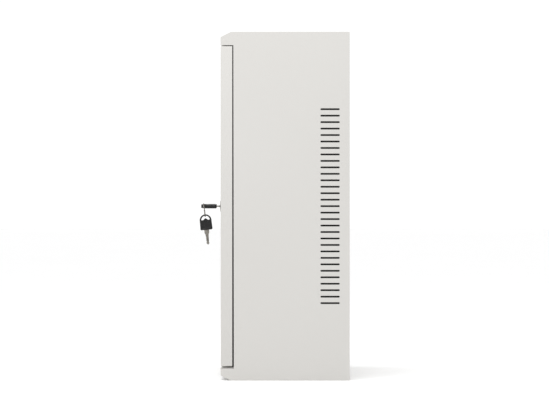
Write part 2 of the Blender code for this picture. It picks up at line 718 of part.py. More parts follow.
def make_lock_plug(pivot, materials):
    """The turning plug, the cam on its square tail, and the screw that holds the cam."""
    front = LOCK_FRONT + 0.0004
    mesh = rod("lock_plug", PLUG_RADIUS, PLUG_REAR - front, "+Y", (LOCK_X, front, 0.0), 20)
    plug = add_object("lock_plug", mesh, materials["nickel"], pivot)
    half = TAIL / 2
    tail_rear = CAM_FRONT + CAM_SHEET
    low = (LOCK_X - half, PLUG_REAR - 0.001, -half)
    join(plug, block("plug_tail", low, (LOCK_X + half, tail_rear, half)))
    keyway = (BLADE_WIDTH / 2 + GAP, BLADE_THICKNESS / 2 + GAP)
    low = (LOCK_X - keyway[0], front - 0.01, -keyway[1])
    high = (LOCK_X + keyway[0], KEY_TOP + KEY_LENGTH + 0.0005, keyway[1])
    cut(plug, block("keyway", low, high))
    cut(plug, rod("tail_hole", 0.0018, 0.0140, "-Y", (LOCK_X, tail_rear + 0.0090, 0.0), 10))

    wide, narrow = 0.0090, 0.0060
    outline = arc((LOCK_X, 0.0), wide, 180, 360, 10)
    outline += [(LOCK_X + narrow, CAM_REACH - 0.002), (LOCK_X + narrow - 0.002, CAM_REACH)]
    outline += [(LOCK_X - narrow + 0.002, CAM_REACH), (LOCK_X - narrow, CAM_REACH - 0.002)]
    mesh = plate("lock_cam", outline, "Y", CAM_FRONT, CAM_FRONT + CAM_SHEET)
    cam = add_object("lock_cam", mesh, materials["zinc"], pivot)
    low = (LOCK_X - half - GAP, CAM_FRONT - 0.01, -half - GAP)
    cut(cam, block("cam_hole", low, (LOCK_X + half + GAP, CAM_FRONT + 0.01, half + GAP)))

    profile = [
        (0, -0.0040), (0.0015, -0.0040), (0.0015, 0), (0.0042, 0), (0.0042, 0.0008), (0.0030, 0.0020),
        (0, 0.0020),
    ]
    mesh = aimed(turned("cam_screw", profile, 12), "+Y", (LOCK_X, tail_rear + GAP, 0.0))
    add_object("cam_screw", mesh, materials["zinc"], pivot)


# ---- The keys ----------------------------------------------------------------------------
def bow_outline():
    """The bow in its own plane: an arch over slightly spreading sides, with cut corners."""
    arch = arc((0.0, BOW_RADIUS), BOW_RADIUS, 180, 360, 16)
    foot = BOW_RADIUS + 0.0003
    corner = 0.0014
    return arch + [
        (foot, BOW_LENGTH - corner), (foot - corner, BOW_LENGTH),
        (corner - foot, BOW_LENGTH), (-foot, BOW_LENGTH - corner),
    ]


def bow_hole_outline():
    """A crescent under the arch, with a bump in the middle of its lower edge."""
    side, bump = 0.0092, 0.0068
    return arc((0.0, BOW_RADIUS), BOW_HOLE_RADIUS, 188, 352, 12) + [
        (0.0055, side + 0.0008), (0.0026, side - 0.0006), (0.0012, bump),
        (-0.0012, bump), (-0.0026, side - 0.0006), (-0.0055, side + 0.0008),
    ]


def grown(outline, reach):
    """A closed outline moved out on every side."""
    result = []
    for index, point in enumerate(outline):
        along = Vector(outline[(index + 1) % len(outline)]) - Vector(outline[index - 1])
        outward = Vector((along.y, -along.x)).normalized()
        result.append(tuple(Vector(point) + outward * reach))
    return result


def flared_cutter(name, outline, half, chamfer):
    """A cutter along Y of the outline, which widens at 45 degrees towards both faces of a plate."""
    over = 0.0002
    straight, face = half - chamfer, half + over
    rings = [(-face, chamfer + over), (-straight, 0.0), (straight, 0.0), (face, chamfer + over)]
    shape = bmesh.new()
    levels = [[shape.verts.new((a, y, b)) for a, b in grown(outline, reach)] for y, reach in rings]
    shape.faces.new(levels[0])
    shape.faces.new(levels[-1])
    count = len(outline)
    for near, far in zip(levels, levels[1:]):
        for index in range(count):
            after = (index + 1) % count
            shape.faces.new((near[index], near[after], far[after], far[index]))
    return mesh_from(shape, name)


def blade_outline():
    """The blade from its tang to its pointed tip, with steps cut in both edges."""
    half = BLADE_WIDTH / 2
    start = BOW_LENGTH - BLADE_TANG
    neck = BOW_LENGTH + 0.0090
    edge = [(half, start), (half, neck - 0.002)]
    pitch = (KEY_LENGTH - neck - 0.002) / 5
    for index, depth in enumerate((0.0012, 0.0017, 0.0011, 0.0018, 0.0013)):
        edge.append((half - depth, neck + pitch * (index + 0.1)))
        edge.append((half - depth, neck + pitch * (index + 0.7)))
    edge.append((0.0006, KEY_LENGTH))
    return edge + [(-x, z) for x, z in reversed(edge)]


def make_key(prefix, place, pivot, materials):
    """A blade in a moulded bow. The key lies along its local Z, and its flat faces local Y."""
    half = BOW_THICKNESS / 2
    bevels = [("start", BOW_CHAMFER), ("end", BOW_CHAMFER)]
    mesh = plate(prefix + "_bow", bow_outline(), "Y", -half, half, bevels)
    mesh.transform(place)
    bow = add_object(prefix + "_bow", mesh, materials["key_plastic"], pivot)
    inner = flared_cutter(prefix + "_hole", bow_hole_outline(), half, BOW_CHAMFER)
    pocket_half = (BLADE_WIDTH / 2 + GAP, BLADE_THICKNESS / 2 + GAP)
    low = (-pocket_half[0], -pocket_half[1], BOW_LENGTH - BLADE_TANG - GAP)
    high = (pocket_half[0], pocket_half[1], BOW_LENGTH + 0.01)
    helpers = [inner, block(prefix + "_pocket", low, high)]
    across, top, bottom = RECESS
    panel = [(-across, top), (across, top), (across, bottom), (-across, bottom)]
    panel = rounded(panel, 0.001, 2, True)
    for label, side in (("front", 1), ("rear", -1)):
        near, far = sorted((side * (half - RECESS_DEPTH), side * (half + 0.005)))
        helpers.append(plate(f"{prefix}_recess_{label}", panel, "Y", near, far))
    for helper in helpers:
        helper.transform(place)
    cut(bow, *helpers)
    half = BLADE_THICKNESS / 2
    mesh = plate(prefix + "_blade", blade_outline(), "Y", -half, half)
    mesh.transform(place)
    add_object(prefix + "_blade", mesh, materials["nickel"], pivot)


def tilted(angle):
    """Down, the way across it and +X, as a turn: what hangs tips its lower end towards +Y."""
    across = Vector((0.0, math.cos(angle), math.sin(angle)))
    down = Vector((0.0, math.sin(angle), -math.cos(angle)))
    turn = Matrix((across, Vector((1.0, 0.0, 0.0)), down)).transposed()
    return turn.to_4x4(), down


def make_keys(lock_pivot, materials):
    key_pivot = add_pivot("key_pivot", (LOCK_X, FRONT, 0.0), lock_pivot)
    place = Matrix.Translation((LOCK_X, KEY_TOP, 0.0)) @ TURNS["+Y"]
    make_key("key", place, key_pivot, materials)

    ring_at = Vector((RING_X, RING_Y, 0.0))
    ring_pivot = add_pivot("ring_pivot", ring_at, key_pivot)
    turn, down = tilted(RING_TILT)
    section = arc((RING_RADIUS, 0.0), 1.0, 0, 315, 7)
    section = [
        (RING_RADIUS + (r - RING_RADIUS) * RING_WIRE / 2, h * RING_WIDTH / 2) for r, h in section
    ]
    mesh = turned("key_ring", section, 36)
    centre = Matrix.Translation(ring_at + down * RING_DROP)
    mesh.transform(centre @ turn @ TURNS["+X"])
    add_object("key_ring", mesh, materials["nickel"], ring_pivot)

    hang_at = ring_at + down * (RING_DROP + RING_RADIUS)
    spare_pivot = add_pivot("spare_key_pivot", hang_at, ring_pivot)
    turn, down = tilted(SPARE_TILT)
    place = Matrix.Translation(hang_at - down * SPARE_HANG) @ turn
    make_key("spare_key", place, spare_pivot, materials)


# ---- Assembly ----------------------------------------------------------------------------
def main():
    for thing in list(bpy.data.objects):
        bpy.data.objects.remove(thing, do_unlink=True)
    materials = make_materials()
    slots = make_slot_helper()
    for name, side in (("right", 1), ("left", -1)):
        make_side_panel("side_panel_" + name, side, slots, materials)
        make_filter(name, side, materials)
    make_back_panel(materials)
    make_top_and_bottom(materials)
    make_shelf(materials)
    make_mats(materials)
    make_rail(materials)
    make_breaker(materials)
    make_rail_pieces(materials)
    make_earth_stud(materials)
    make_buffers(materials)
    door_pivot = add_pivot("door_pivot", (PIVOT_X, PIVOT_Y, 0.0))
    make_door(door_pivot, materials)
    make_hinges(door_pivot, materials)
    make_lock_barrel(door_pivot, materials)
    lock_pivot = add_pivot("lock_pivot", (LOCK_X, FRONT, 0.0), door_pivot)
    make_lock_plug(lock_pivot, materials)
    make_keys(lock_pivot, materials)


main()
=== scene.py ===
# %% [markdown]
# # A wall-hung battery box
# This lesson dresses the working model of a steel battery box. The model already holds every
# piece at its true size and on its own joint; here each one gets the surface it has in life.
# We start by loading that model.

# %% Load the fixed frame
import json
import math

import bmesh
import bpy
import numpy as np
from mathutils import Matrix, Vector


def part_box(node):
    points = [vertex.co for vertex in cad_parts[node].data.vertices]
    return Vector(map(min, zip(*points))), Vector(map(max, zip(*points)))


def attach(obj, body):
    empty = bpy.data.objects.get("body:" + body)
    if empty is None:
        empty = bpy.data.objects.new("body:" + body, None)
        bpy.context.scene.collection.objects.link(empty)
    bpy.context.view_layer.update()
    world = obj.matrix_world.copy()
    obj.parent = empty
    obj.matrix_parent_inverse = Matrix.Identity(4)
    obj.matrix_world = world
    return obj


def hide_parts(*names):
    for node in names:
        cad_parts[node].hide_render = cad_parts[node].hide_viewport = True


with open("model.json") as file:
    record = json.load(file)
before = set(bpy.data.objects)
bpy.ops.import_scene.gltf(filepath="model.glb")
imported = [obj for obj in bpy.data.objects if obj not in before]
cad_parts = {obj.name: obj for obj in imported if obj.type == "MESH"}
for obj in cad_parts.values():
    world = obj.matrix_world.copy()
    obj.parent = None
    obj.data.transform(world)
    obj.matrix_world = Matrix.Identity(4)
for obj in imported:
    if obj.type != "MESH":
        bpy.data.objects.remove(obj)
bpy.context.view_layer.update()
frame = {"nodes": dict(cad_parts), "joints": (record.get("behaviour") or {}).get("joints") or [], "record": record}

# %% [markdown]
# The places that we need come from the model itself. A node's box gives its lowest and highest
# corners, so the front of the door, the lock's axis and the wall side are all read from there.

# %% Read the main places from the model
MM = 0.001
DOOR_LOW, DOOR_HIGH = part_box("door_panel")
PANEL_LOW, PANEL_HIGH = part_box("side_panel_right")
LOCK_LOW, LOCK_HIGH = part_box("lock_barrel")
LOCK_X = (LOCK_LOW.x + LOCK_HIGH.x) / 2
LOCK_Z = (LOCK_LOW.z + LOCK_HIGH.z) / 2
FLOOR_Z = PANEL_LOW.z
SLOTS = {entry["node"]: entry["material_slot"] for entry in frame["record"]["subparts"]}
BODIES = frame["record"]["behaviour"]["bodies"]
BODY_OF = {node: body for body, nodes in BODIES.items() for node in nodes}
JOINTS = {joint["name"]: joint for joint in frame["joints"]}
print("door face at y =", round(DOOR_LOW.y, 4), "lock axis at x =", round(LOCK_X, 4))

# %% [markdown]
# ## The camera, the floor and the light
# The box is looked at square on to its right-hand side from far away, with a long lens, so its
# edges stay parallel. A white, even studio suits pale paint: the sky gives soft light from all
# round, a large panel high on the right makes the top a little brighter than the foot, and one
# in front keeps the door from looking flat.

# %% Camera
put_in_scene = bpy.context.scene.collection.objects.link
CAMERA_DISTANCE = 4.5
VIEW_WIDTH = 0.9443
AIM_Y = -0.1293
AIM_Z = 0.0003

camera_data = bpy.data.cameras.new("side_camera")
camera_data.sensor_width = 36.0
camera_data.lens = 36.0 * CAMERA_DISTANCE / VIEW_WIDTH
camera_data.clip_end = 100.0
camera = bpy.data.objects.new("side_camera", camera_data)
camera.location = (PANEL_HIGH.x + CAMERA_DISTANCE, AIM_Y, AIM_Z)
camera.rotation_euler = (math.pi / 2, 0.0, math.pi / 2)
put_in_scene(camera)
bpy.context.scene.camera = camera
print("lens:", round(camera_data.lens, 1), "mm")

# %% Sky and light panels
scene = bpy.context.scene
scene.view_settings.view_transform = "Standard"
scene.world = bpy.data.worlds.new("studio")
scene.world.use_nodes = True
sky = scene.world.node_tree.nodes["Background"]
sky.inputs["Color"].default_value = (1.0, 1.0, 1.0, 1.0)
sky.inputs["Strength"].default_value = 1.06


def add_light_panel(name, place, target, size, power):
    """A square soft light at a place, turned towards a target."""
    data = bpy.data.lights.new(name, "AREA")
    data.shape = "SQUARE"
    data.size = size
    data.energy = power
    light = bpy.data.objects.new(name, data)
    light.location = place
    light.rotation_euler = (Vector(target) - Vector(place)).to_track_quat("-Z", "Y").to_euler()
    put_in_scene(light)


add_light_panel("overhead_panel", (1.0, -0.35, 1.4), (0.1, -0.1, 0.1), 1.2, 15.0)
add_light_panel("front_panel", (-0.6, -2.6, 1.2), (0.0, -0.2, 0.0), 1.4, 11.0)
print("light panels: 2")

# %% [markdown]
# ## Writing a finish as sums
# A material is a small graph of nodes. Wiring it by hand takes many lines, so a *wire* here
# stands for a node's output and understands sums: adding two wires adds a Math node, and
# 1 - mask works too. A *finish* is one material with its Principled shader; its node method
# takes a node's type, its settings, and the values or wires for its sockets.


# %% Wires and finishes
class Wire:
    """A node's output. Sums on wires add Math nodes, and a number may stand on either side."""

    def __init__(self, finish, socket):
        self.finish = finish
        self.socket = socket

    def __add__(self, other):
        return self.finish.maths("ADD", self, other)

    def __sub__(self, other):
        return self.finish.maths("SUBTRACT", self, other)

    def __rsub__(self, other):
        return self.finish.maths("SUBTRACT", other, self)

    def __mul__(self, other):
        return self.finish.maths("MULTIPLY", self, other)

    # Sums and products come out the same either way round.
    __radd__ = __add__
    __rmul__ = __mul__

    def clamp(self):
        """The wire kept between 0 and 1."""
        return self.finish.maths("MAXIMUM", self.finish.maths("MINIMUM", self, 1.0), 0.0)


class Finish:
    """One material: a Principled shader and the nodes that feed it."""

    def __init__(self, name, values):
        self.material = bpy.data.materials.new(name)
        self.material.use_nodes = True
        self.tree = self.material.node_tree
        self.shader = self.tree.nodes["Principled BSDF"]
        self.place = self.node("ShaderNodeTexCoord", "Object")
        self.fill(self.shader, values)

    def fill(self, node, values):
        """Gives each named socket its value, or links the wire to it."""
        for label, value in values.items():
            if isinstance(value, Wire):
                self.tree.links.new(value.socket, node.inputs[label])
            else:
                node.inputs[label].default_value = value

    def node(self, kind, output=0, settings=None, values=None):
        """Adds a node. Its settings go in first, then its sockets' values or wires."""
        made = self.tree.nodes.new(kind)
        for label, value in (settings or {}).items():
            setattr(made, label, value)
        self.fill(made, values or {})
        return Wire(self, made.outputs[output])

    def maths(self, operation, *values):
        return self.node("ShaderNodeMath", 0, {"operation": operation}, dict(enumerate(values)))

    def noise(self, scale, detail=2.0, stretch=(1.0, 1.0, 1.0)):
        """Soft random clouds, about 1 / scale metres across, and longer along a small stretch."""
        at = self.node("ShaderNodeMapping", 0, {}, {"Vector": self.place, "Scale": stretch})
        values = {"Vector": at, "Scale": scale, "Detail": detail}
        return self.node("ShaderNodeTexNoise", 0, {}, values)

    def blend(self, factor, first, second):
        """A colour between two others."""
        settings = {"data_type": "RGBA"}
        return self.node("ShaderNodeMix", 2, settings, {0: factor, 6: first, 7: second})

    def bump(self, height, depth):
        """Tilts the surface as if height, from 0 to 1, stood depth metres proud."""
        return self.node("ShaderNodeBump", 0, {}, {"Height": height, "Distance": depth})

    def dress(self, values):
        self.fill(self.shader, values)
        return self.material


def grey(level, warmth=0.0):
    """A grey colour with a little more red and less blue for warmth."""
    return (level * (1 + warmth), level, level * (1 - 2 * warmth), 1.0)


print("finish helpers ready")

# %% [markdown]
# ## The paint
# The case and the door are powder coated: dry paint is sprayed on and melted, so it draws up
# into a fine orange peel instead of a mirror. Two layers of noise give that relief, a very
# broad one shifts the tone by a few percent, and near the lock the hand and the key leave
# fine scuffs.

# %% Powder coat
PAINT_LIGHT = grey(0.506, 0.018)
PAINT_DEEP = grey(0.490, 0.022)
SCUFFED = grey(0.435, 0.012)


def make_paint():
    paint = Finish("powder_coat", {"Specular IOR Level": 0.45})
    broad = paint.noise(3.0, 1.0)
    peel = paint.noise(520.0, 1.0)
    grain = paint.noise(2600.0, 0.0)
    lock_face = (LOCK_X, DOOR_LOW.y, LOCK_Z)
    settings = {"operation": "DISTANCE"}
    away = paint.node("ShaderNodeVectorMath", "Value", settings, {0: paint.place, 1: lock_face})
    near_lock = (1.3 - away * 32.0).clamp()
    streaks = paint.noise(160.0, 3.0, (1.0, 1.0, 0.12))
    scuffs = (streaks * 6.0 - 3.4).clamp() * near_lock
    plain = paint.blend((broad * 2.0 - 0.5).clamp(), PAINT_DEEP, PAINT_LIGHT)
    return paint.dress({
        "Base Color": paint.blend(scuffs * 0.5, plain, SCUFFED),
        "Roughness": 0.36 + broad * 0.12 + peel * 0.06 - scuffs * 0.08,
        "Normal": paint.bump(peel * 0.8 + grain * 0.2, 0.10 * MM),
    })


paint = make_paint()
print("paint:", paint.name)

# %% [markdown]
# ## The plated metals
# Small steel parts are zinc plated, which is bright but cloudy, with a faint yellow and blue
# cast. The lock, the ring and the key blades are nickel plated and polished, then scratched
# along their length by use. Both are fully metallic, so what varies is the roughness: the eye
# reads the scratches from how they blur what is reflected.

# %% Zinc and nickel plate
ZINC_BLUE = (0.60, 0.63, 0.66, 1.0)
ZINC_YELLOW = (0.70, 0.66, 0.56, 1.0)
NICKEL_LIGHT = (0.27, 0.255, 0.23, 1.0)
NICKEL_DULL = (0.09, 0.083, 0.073, 1.0)


def make_zinc():
    zinc = Finish("zinc_plate", {"Metallic": 1.0})
    cast = zinc.noise(60.0, 3.0)
    clouds = zinc.noise(420.0, 4.0)
    return zinc.dress({
        "Base Color": zinc.blend((cast * 2.4 - 0.7).clamp(), ZINC_BLUE, ZINC_YELLOW),
        "Roughness": 0.24 + clouds * 0.26,
        "Normal": zinc.bump(clouds, 0.03 * MM),
    })


def make_nickel():
    nickel = Finish("nickel_plate", {"Metallic": 1.0})
    scratches = nickel.noise(1500.0, 2.0, (1.0, 0.06, 0.06))
    stains = nickel.noise(210.0, 3.0)
    dull = (stains * 3.0 - 1.3).clamp()
    return nickel.dress({
        "Base Color": nickel.blend(dull, NICKEL_LIGHT, NICKEL_DULL),
        "Roughness": 0.20 + scratches * 0.18 + dull * 0.16,
        "Normal": nickel.bump(scratches, 0.02 * MM),
    })


zinc = make_zinc()
nickel = make_nickel()
print("metals:", zinc.name, nickel.name)

# %% [markdown]
# ## Plastics, rubber and foam
# Moulded plastic takes the fine spark-eroded grain of its mould, so one helper makes every
# plastic here with its own colour, gloss and grain. Rubber is duller and bloomed with a paler
# dust. The dust filter is open-cell foam, a net of little bubbles, and a Voronoi pattern is
# that shape: its cell distance is painted dark in the pores, as the shade inside them, and pale on the walls
# between them.

# %% Plastics, rubber and foam
def make_plastic(name, colour, worn, roughness, gloss=0.5):
    """Moulded plastic: a fine grain, rubbed smoother and paler here and there."""
    plastic = Finish(name, {"Specular IOR Level": gloss})
    grain = plastic.noise(3200.0, 1.0)
    rubbed = (plastic.noise(120.0, 3.0) * 3.0 - 1.4).clamp()
    return plastic.dress({
        "Base Color": plastic.blend(rubbed * 0.6, colour, worn),
        "Roughness": roughness + grain * 0.12 - rubbed * 0.10,
        "Normal": plastic.bump(grain, 0.02 * MM),
    })


def make_rubber():
    rubber = Finish("black_rubber", {"Specular IOR Level": 0.3})
    bloom = (rubber.noise(90.0, 4.0) * 2.6 - 1.0).clamp()
    pores = rubber.noise(2400.0, 2.0)
    return rubber.dress({
        "Base Color": rubber.blend(bloom, grey(0.018), grey(0.042, 0.02)),
        "Roughness": 0.62 + bloom * 0.18 + pores * 0.08,
        "Normal": rubber.bump(pores, 0.04 * MM),
    })


def make_foam():
    foam = Finish("filter_foam", {"Specular IOR Level": 0.15})
    values = {"Vector": foam.place, "Scale": 900.0}
    cells = foam.node("ShaderNodeTexVoronoi", "Distance", {}, values)
    # The cell pattern paints shade into the pores, and it is also the foam's relief.
    walls_and_pore_shade = (cells * 1.6).clamp()
    dust = foam.noise(45.0, 3.0)
    return foam.dress({
        # Painted shade: the pores are darker, as the shade in the holes; the dust noise is real dust.
        "Base Color": foam.blend(walls_and_pore_shade * 0.7 + dust * 0.3, grey(0.003), grey(0.024, 0.03)),
        "Roughness": 0.86 + dust * 0.10,
        "Normal": foam.bump(walls_and_pore_shade, 0.6 * MM),
    })


FINISHES = {
    "body_paint": paint,
    "zinc_plate": zinc,
    "nickel_plate": nickel,
    "key_plastic": make_plastic("key_plastic", grey(0.007), grey(0.014), 0.34, gloss=0.28),
    "filter_foam": make_foam(),
    "rubber": make_rubber(),
    "case_plastic": make_plastic("case_plastic", grey(0.62, 0.01), grey(0.66), 0.42),
    "dark_plastic": make_plastic("dark_plastic", grey(0.022), grey(0.040), 0.42),
    "red_plastic": make_plastic(
        "red_plastic", (0.46, 0.022, 0.014, 1.0), (0.52, 0.05, 0.035, 1.0), 0.40
    ),
}
for node, thing in frame["nodes"].items():
    thing.material_slots[0].material = FINISHES[SLOTS[node]]
print("finishes:", ", ".join(FINISHES))

# %% [markdown]
# ## The floor
# One large, pale, dull sheet. It is nearly white, so light bounces from it up into the lower
# half of the box and only a soft shade shows where the box stands.

# %% Floor
FLOOR_REACH = 30.0
floor_data = bpy.data.meshes.new("floor")
corners = ((-1, -1), (1, -1), (1, 1), (-1, 1))
floor_points = [(x * FLOOR_REACH, y * FLOOR_REACH, FLOOR_Z) for x, y in corners]
floor_data.from_pydata(floor_points, [], [(0, 1, 2, 3)])
floor = bpy.data.objects.new("floor", floor_data)
put_in_scene(floor)
floor_finish = Finish("pale_floor", {"Specular IOR Level": 0.1})
mottle = floor_finish.noise(2.0, 3.0)
floor_data.materials.append(floor_finish.dress({
    "Base Color": floor_finish.blend(mottle, grey(0.93), grey(0.95)),
    "Roughness": 0.85 + mottle * 0.1,
}))
print("floor at z =", round(FLOOR_Z, 3))

# %% [markdown]
# ## Surfaces from grids
# Every new piece is worked out as a grid of points: rows one way, columns the other, and each
# little square of four neighbours makes a face. A grid may wrap round, as a tube does. When the
# pieces of a shape are joined, doubled points at seams and poles are merged, and the faces are
# turned outwards. Then the piece is given its finish and its body, and any nodes it replaces are hidden.


# %% Grid helpers
def shell(grid, wrap=(False, True)):
    """A grid's points and four-sided faces. wrap joins the last row or column to the first."""
    rows, columns = grid.shape[:2]
    index = np.arange(rows * columns).reshape(rows, columns)
    if wrap[0]:
        index = np.concatenate([index, index[:1]])
    if wrap[1]:
        index = np.concatenate([index, index[:, :1]], axis=1)
    corners = [index[:-1, :-1], index[1:, :-1], index[1:, 1:], index[:-1, 1:]]
    return grid.reshape(-1, 3), np.stack(corners, axis=-1).reshape(-1, 4).tolist()


def enlist(name, mesh, nodes):
    """Makes the mesh a piece on the nodes' body and in their finish."""
    mesh.materials.append(FINISHES[SLOTS[nodes[0]]])
    piece = bpy.data.objects.new(name, mesh)
    put_in_scene(piece)
    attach(piece, BODY_OF[nodes[0]])
    return piece


def closed_mesh(name, shells, sharp=35.0):
    """The shells as one mesh: doubles merged, faces outwards, and smooth below an angle."""
    starts = np.cumsum([0] + [len(piece[0]) for piece in shells])
    points = np.concatenate([piece[0] for piece in shells])
    faces = []
    for piece, start in zip(shells, starts):
        faces += [[corner + start for corner in face] for face in piece[1]]
    mesh = bpy.data.meshes.new(name)
    mesh.from_pydata(points.tolist(), [], faces)
    shape = bmesh.new()
    shape.from_mesh(mesh)
    bmesh.ops.remove_doubles(shape, verts=shape.verts, dist=1e-7)
    bmesh.ops.recalc_face_normals(shape, faces=shape.faces)
    shape.to_mesh(mesh)
    shape.free()
    mesh.shade_smooth()
    mesh.set_sharp_from_angle(angle=math.radians(sharp))
    return mesh


def add_piece(name, shells, nodes, sharp=35.0):
    """A new piece in place of the nodes."""
    piece = enlist(name, closed_mesh(name, shells, sharp), nodes)
    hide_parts(*nodes)
    print(name, "has", len(piece.data.polygons), "faces")
    return piece


def add_detail(name, shells, node, slot, sharp=35.0):
    """A new piece that rides with a node and stands for none."""
    piece = enlist(name, closed_mesh(name, shells, sharp), [node])
    piece.data.materials[0] = FINISHES[slot]
    print(name, "has", len(piece.data.polygons), "faces")
    return piece


def eased(points, reach, steps=4, closed=False):
    """Rounds every corner C of a line between A and B.

    Each corner becomes (1 - t)^2 P + 2 t (1 - t) C + t^2 Q, where P and Q lie at most reach
    from C along its two sides.
    """
    points = np.array(points, float)
    share = np.full(len(points), 1.0)
    if not closed:
        share[[0, -1]] = 0.0
    t = np.linspace(0.0, 1.0, steps + 1)[None, :, None]
    ends = []
    for other in (np.roll(points, 1, axis=0), np.roll(points, -1, axis=0)):
        away = other - points
        length = np.linalg.norm(away, axis=1)
        part = share * np.minimum(reach / np.maximum(length, 1e-9), 0.5)
        ends.append((points + away * part[:, None])[:, None])
    curve = (1 - t) ** 2 * ends[0] + 2 * t * (1 - t) * points[:, None] + t**2 * ends[1]
    return curve.reshape(-1, points.shape[1])


def capped(grid):
    """The grid with its first and last rows repeated at their own middles, so a tube is closed."""
    ends = [row.mean(axis=0) + 0 * row for row in (grid[0], grid[-1])]
    return np.concatenate([ends[0][None], grid, ends[1][None]])


def full_turn(count):
    """That many angles, in even steps all the way round."""
    return np.linspace(0.0, math.tau, count, endpoint=False)


def soft_step(value):
    """0 below 0, 1 above 1, and 3 v^2 - 2 v^3 between."""
    value = np.clip(value, 0.0, 1.0)
    return value * value * (3.0 - 2.0 * value)


def aimed(grid, at, along):
    """Points a shape made about +Z along a direction, and moves its base to a place."""
    along = np.array(along, float)
    side = np.array([1.0, 0.0, 0.0]) if abs(along[2]) > 0.9 else np.cross([0.0, 0.0, 1.0], along)
    return np.array(at) + grid @ np.array([side, np.cross(along, side), along])


TO_FRONT, TO_BACK, UP = (0.0, -1.0, 0.0), (0.0, 1.0, 0.0), (0.0, 0.0, 1.0)


def middle(node):
    """The middle of a node's box."""
    low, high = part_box(node)
    return (low + high) / 2


def turned(grid, at, along, hollow=False):
    """The shell of a turned shape in its place. A hollow one's profile runs back to its start."""
    return shell(aimed(grid, at, along), (hollow, True))


print("grid helpers ready")

# %% [markdown]
# ## Folded and moulded pieces with eased edges
# The model's sheet-metal pieces have the right shape, but their edges are perfectly sharp, and
# no real edge is. Light catches a rounded edge as a thin bright line, and that line is most of
# what tells the eye that it sees folded steel. So each such node is copied, its loose triangles
# are joined, its flat areas are made whole faces, and a small bevel eases what is left.


# %% Ease the edges of sheet and moulded nodes
def add_bevel(piece, width, degrees):
    """A bevel of two segments on each edge that turns through more than an angle."""
    bevel = piece.modifiers.new("Eased edges", "BEVEL")
    bevel.width = width
    bevel.segments = 2
    bevel.limit_method = "ANGLE"
    bevel.angle_limit = math.radians(degrees)
    return bevel


def ease_edges(node, width):
    """A copy of a node with joined triangles, whole flat faces and bevelled edges."""
    source = frame["nodes"][node].data
    points = np.empty(len(source.vertices) * 3)
    source.vertices.foreach_get("co", points)
    faces = np.empty(len(source.loops), dtype=int)
    source.loops.foreach_get("vertex_index", faces)
    mesh = bpy.data.meshes.new(node + "_eased")
    mesh.from_pydata(points.reshape(-1, 3).tolist(), [], faces.reshape(-1, 3).tolist())
    shape = bmesh.new()
    shape.from_mesh(mesh)
    bmesh.ops.remove_doubles(shape, verts=shape.verts, dist=2e-6)
    bmesh.ops.dissolve_limit(
        shape, angle_limit=math.radians(1.0), verts=shape.verts, edges=shape.edges
    )
    shape.to_mesh(mesh)
    shape.free()
    mesh.shade_smooth()
    piece = enlist(node + "_eased", mesh, [node])
    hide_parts(node)
    bevel = add_bevel(piece, width, 40.0)
    # The door's hem is thin, so there the bevel is held back where two edges would meet.
    bevel.use_clamp_overlap = node == "door_panel"
    bevel.harden_normals = True


EASED = {
    0.25 * MM: [
        "back_panel", "top_panel", "bottom_panel", "shelf_bracket_left", "shelf_bracket_right",
        "mounting_rail", "door_panel",
    ],
    0.12 * MM: ["filter_frame_left", "filter_frame_right", "lock_cam", "lock_plug"],
    0.35 * MM: [
        "breaker_case", "breaker_lever", "terminal_positive", "terminal_negative", "end_stop_left",
        "end_stop_right",
    ],
}
for width, nodes in EASED.items():
    for node in nodes:
        ease_edges(node, width)
print("eased:", sum(len(nodes) for nodes in EASED.values()), "pieces")

# %% [markdown]
# ## Turned parts: nuts, screws, pins and bushes
# A lathe makes most small fasteners, and so do we: a profile of radius and height is carried
# round an axis. A nut is the same turned shape, with its radius held back to six flats, which
# is also how the curved chamfers at its corners come about. A screw's cross slot is taken out
# of its domed head as a depth that depends on where we are above it.


# %% Lathe
def lathe(profile, sides=48, flats=0, across=0.0):
    """x = r cos a, y = r sin a, z = h, for each (r, h) of the profile.

    With flats, r is at most the distance to that many flat sides, across apart.
    """
    angle = full_turn(sides)
    radius = profile[:, :1] * np.ones(sides)
    if flats:
        step = math.tau / flats
        off = (angle + step / 2) % step - step / 2
        radius = np.minimum(radius, across / 2 / np.cos(off))
    height = profile[:, 1:] * np.ones(sides)
    return np.stack([radius * np.cos(angle), radius * np.sin(angle), height], axis=-1)


def hex_nut(across, bore, thickness):
    """A nut from 0 to its thickness, with cone chamfers on both faces and at its bore."""
    corner = across / math.sqrt(3.0)
    face = across / 2 * 0.96
    cone = (corner - face) * 0.6
    lip = 0.3 * MM
    profile = eased([
        (bore, lip), (bore + lip, 0.0), (face, 0.0), (corner, cone), (corner, thickness - cone),
        (face, thickness), (bore + lip, thickness), (bore, thickness - lip),
    ], 0.1 * MM, 2, closed=True)
    return lathe(profile, 72, 6, across)


def pan_screw(head, lift, shank, radius):
    """A domed head of rows that shrink to its middle, less a cross slot, on a plain shank.

    The dome's height falls as the root of 1 - (r / head)^3. The slot's depth is full where
    the nearer of |x| and |y| is under its half width and the farther under its half length.
    """
    under = eased([
        (0.0, -shank), (radius * 0.8, -shank), (radius, -shank + radius * 0.3), (radius, 0.0),
        (head, 0.0), (head, lift * 0.35),
    ], 0.1 * MM, 2)
    across = np.linspace(head, 0.0, 30)
    dome = lift * (0.35 + 0.65 * np.sqrt(np.maximum(0.0, 1.0 - (across / head) ** 3)))
    grid = lathe(np.concatenate([under, np.stack([across, dome], axis=-1)]), 64)
    near = np.minimum(np.abs(grid[..., 0]), np.abs(grid[..., 1]))
    far = np.maximum(np.abs(grid[..., 0]), np.abs(grid[..., 1]))
    slot_half_width, slot_half_length, edge = head * 0.17, head * 0.62, head * 0.07
    slot = soft_step((slot_half_width - near) / edge) * soft_step((slot_half_length - far) / edge)
    above = grid[..., 2] > lift * 0.4
    grid[..., 2] -= lift * 0.55 * slot * above
    return grid


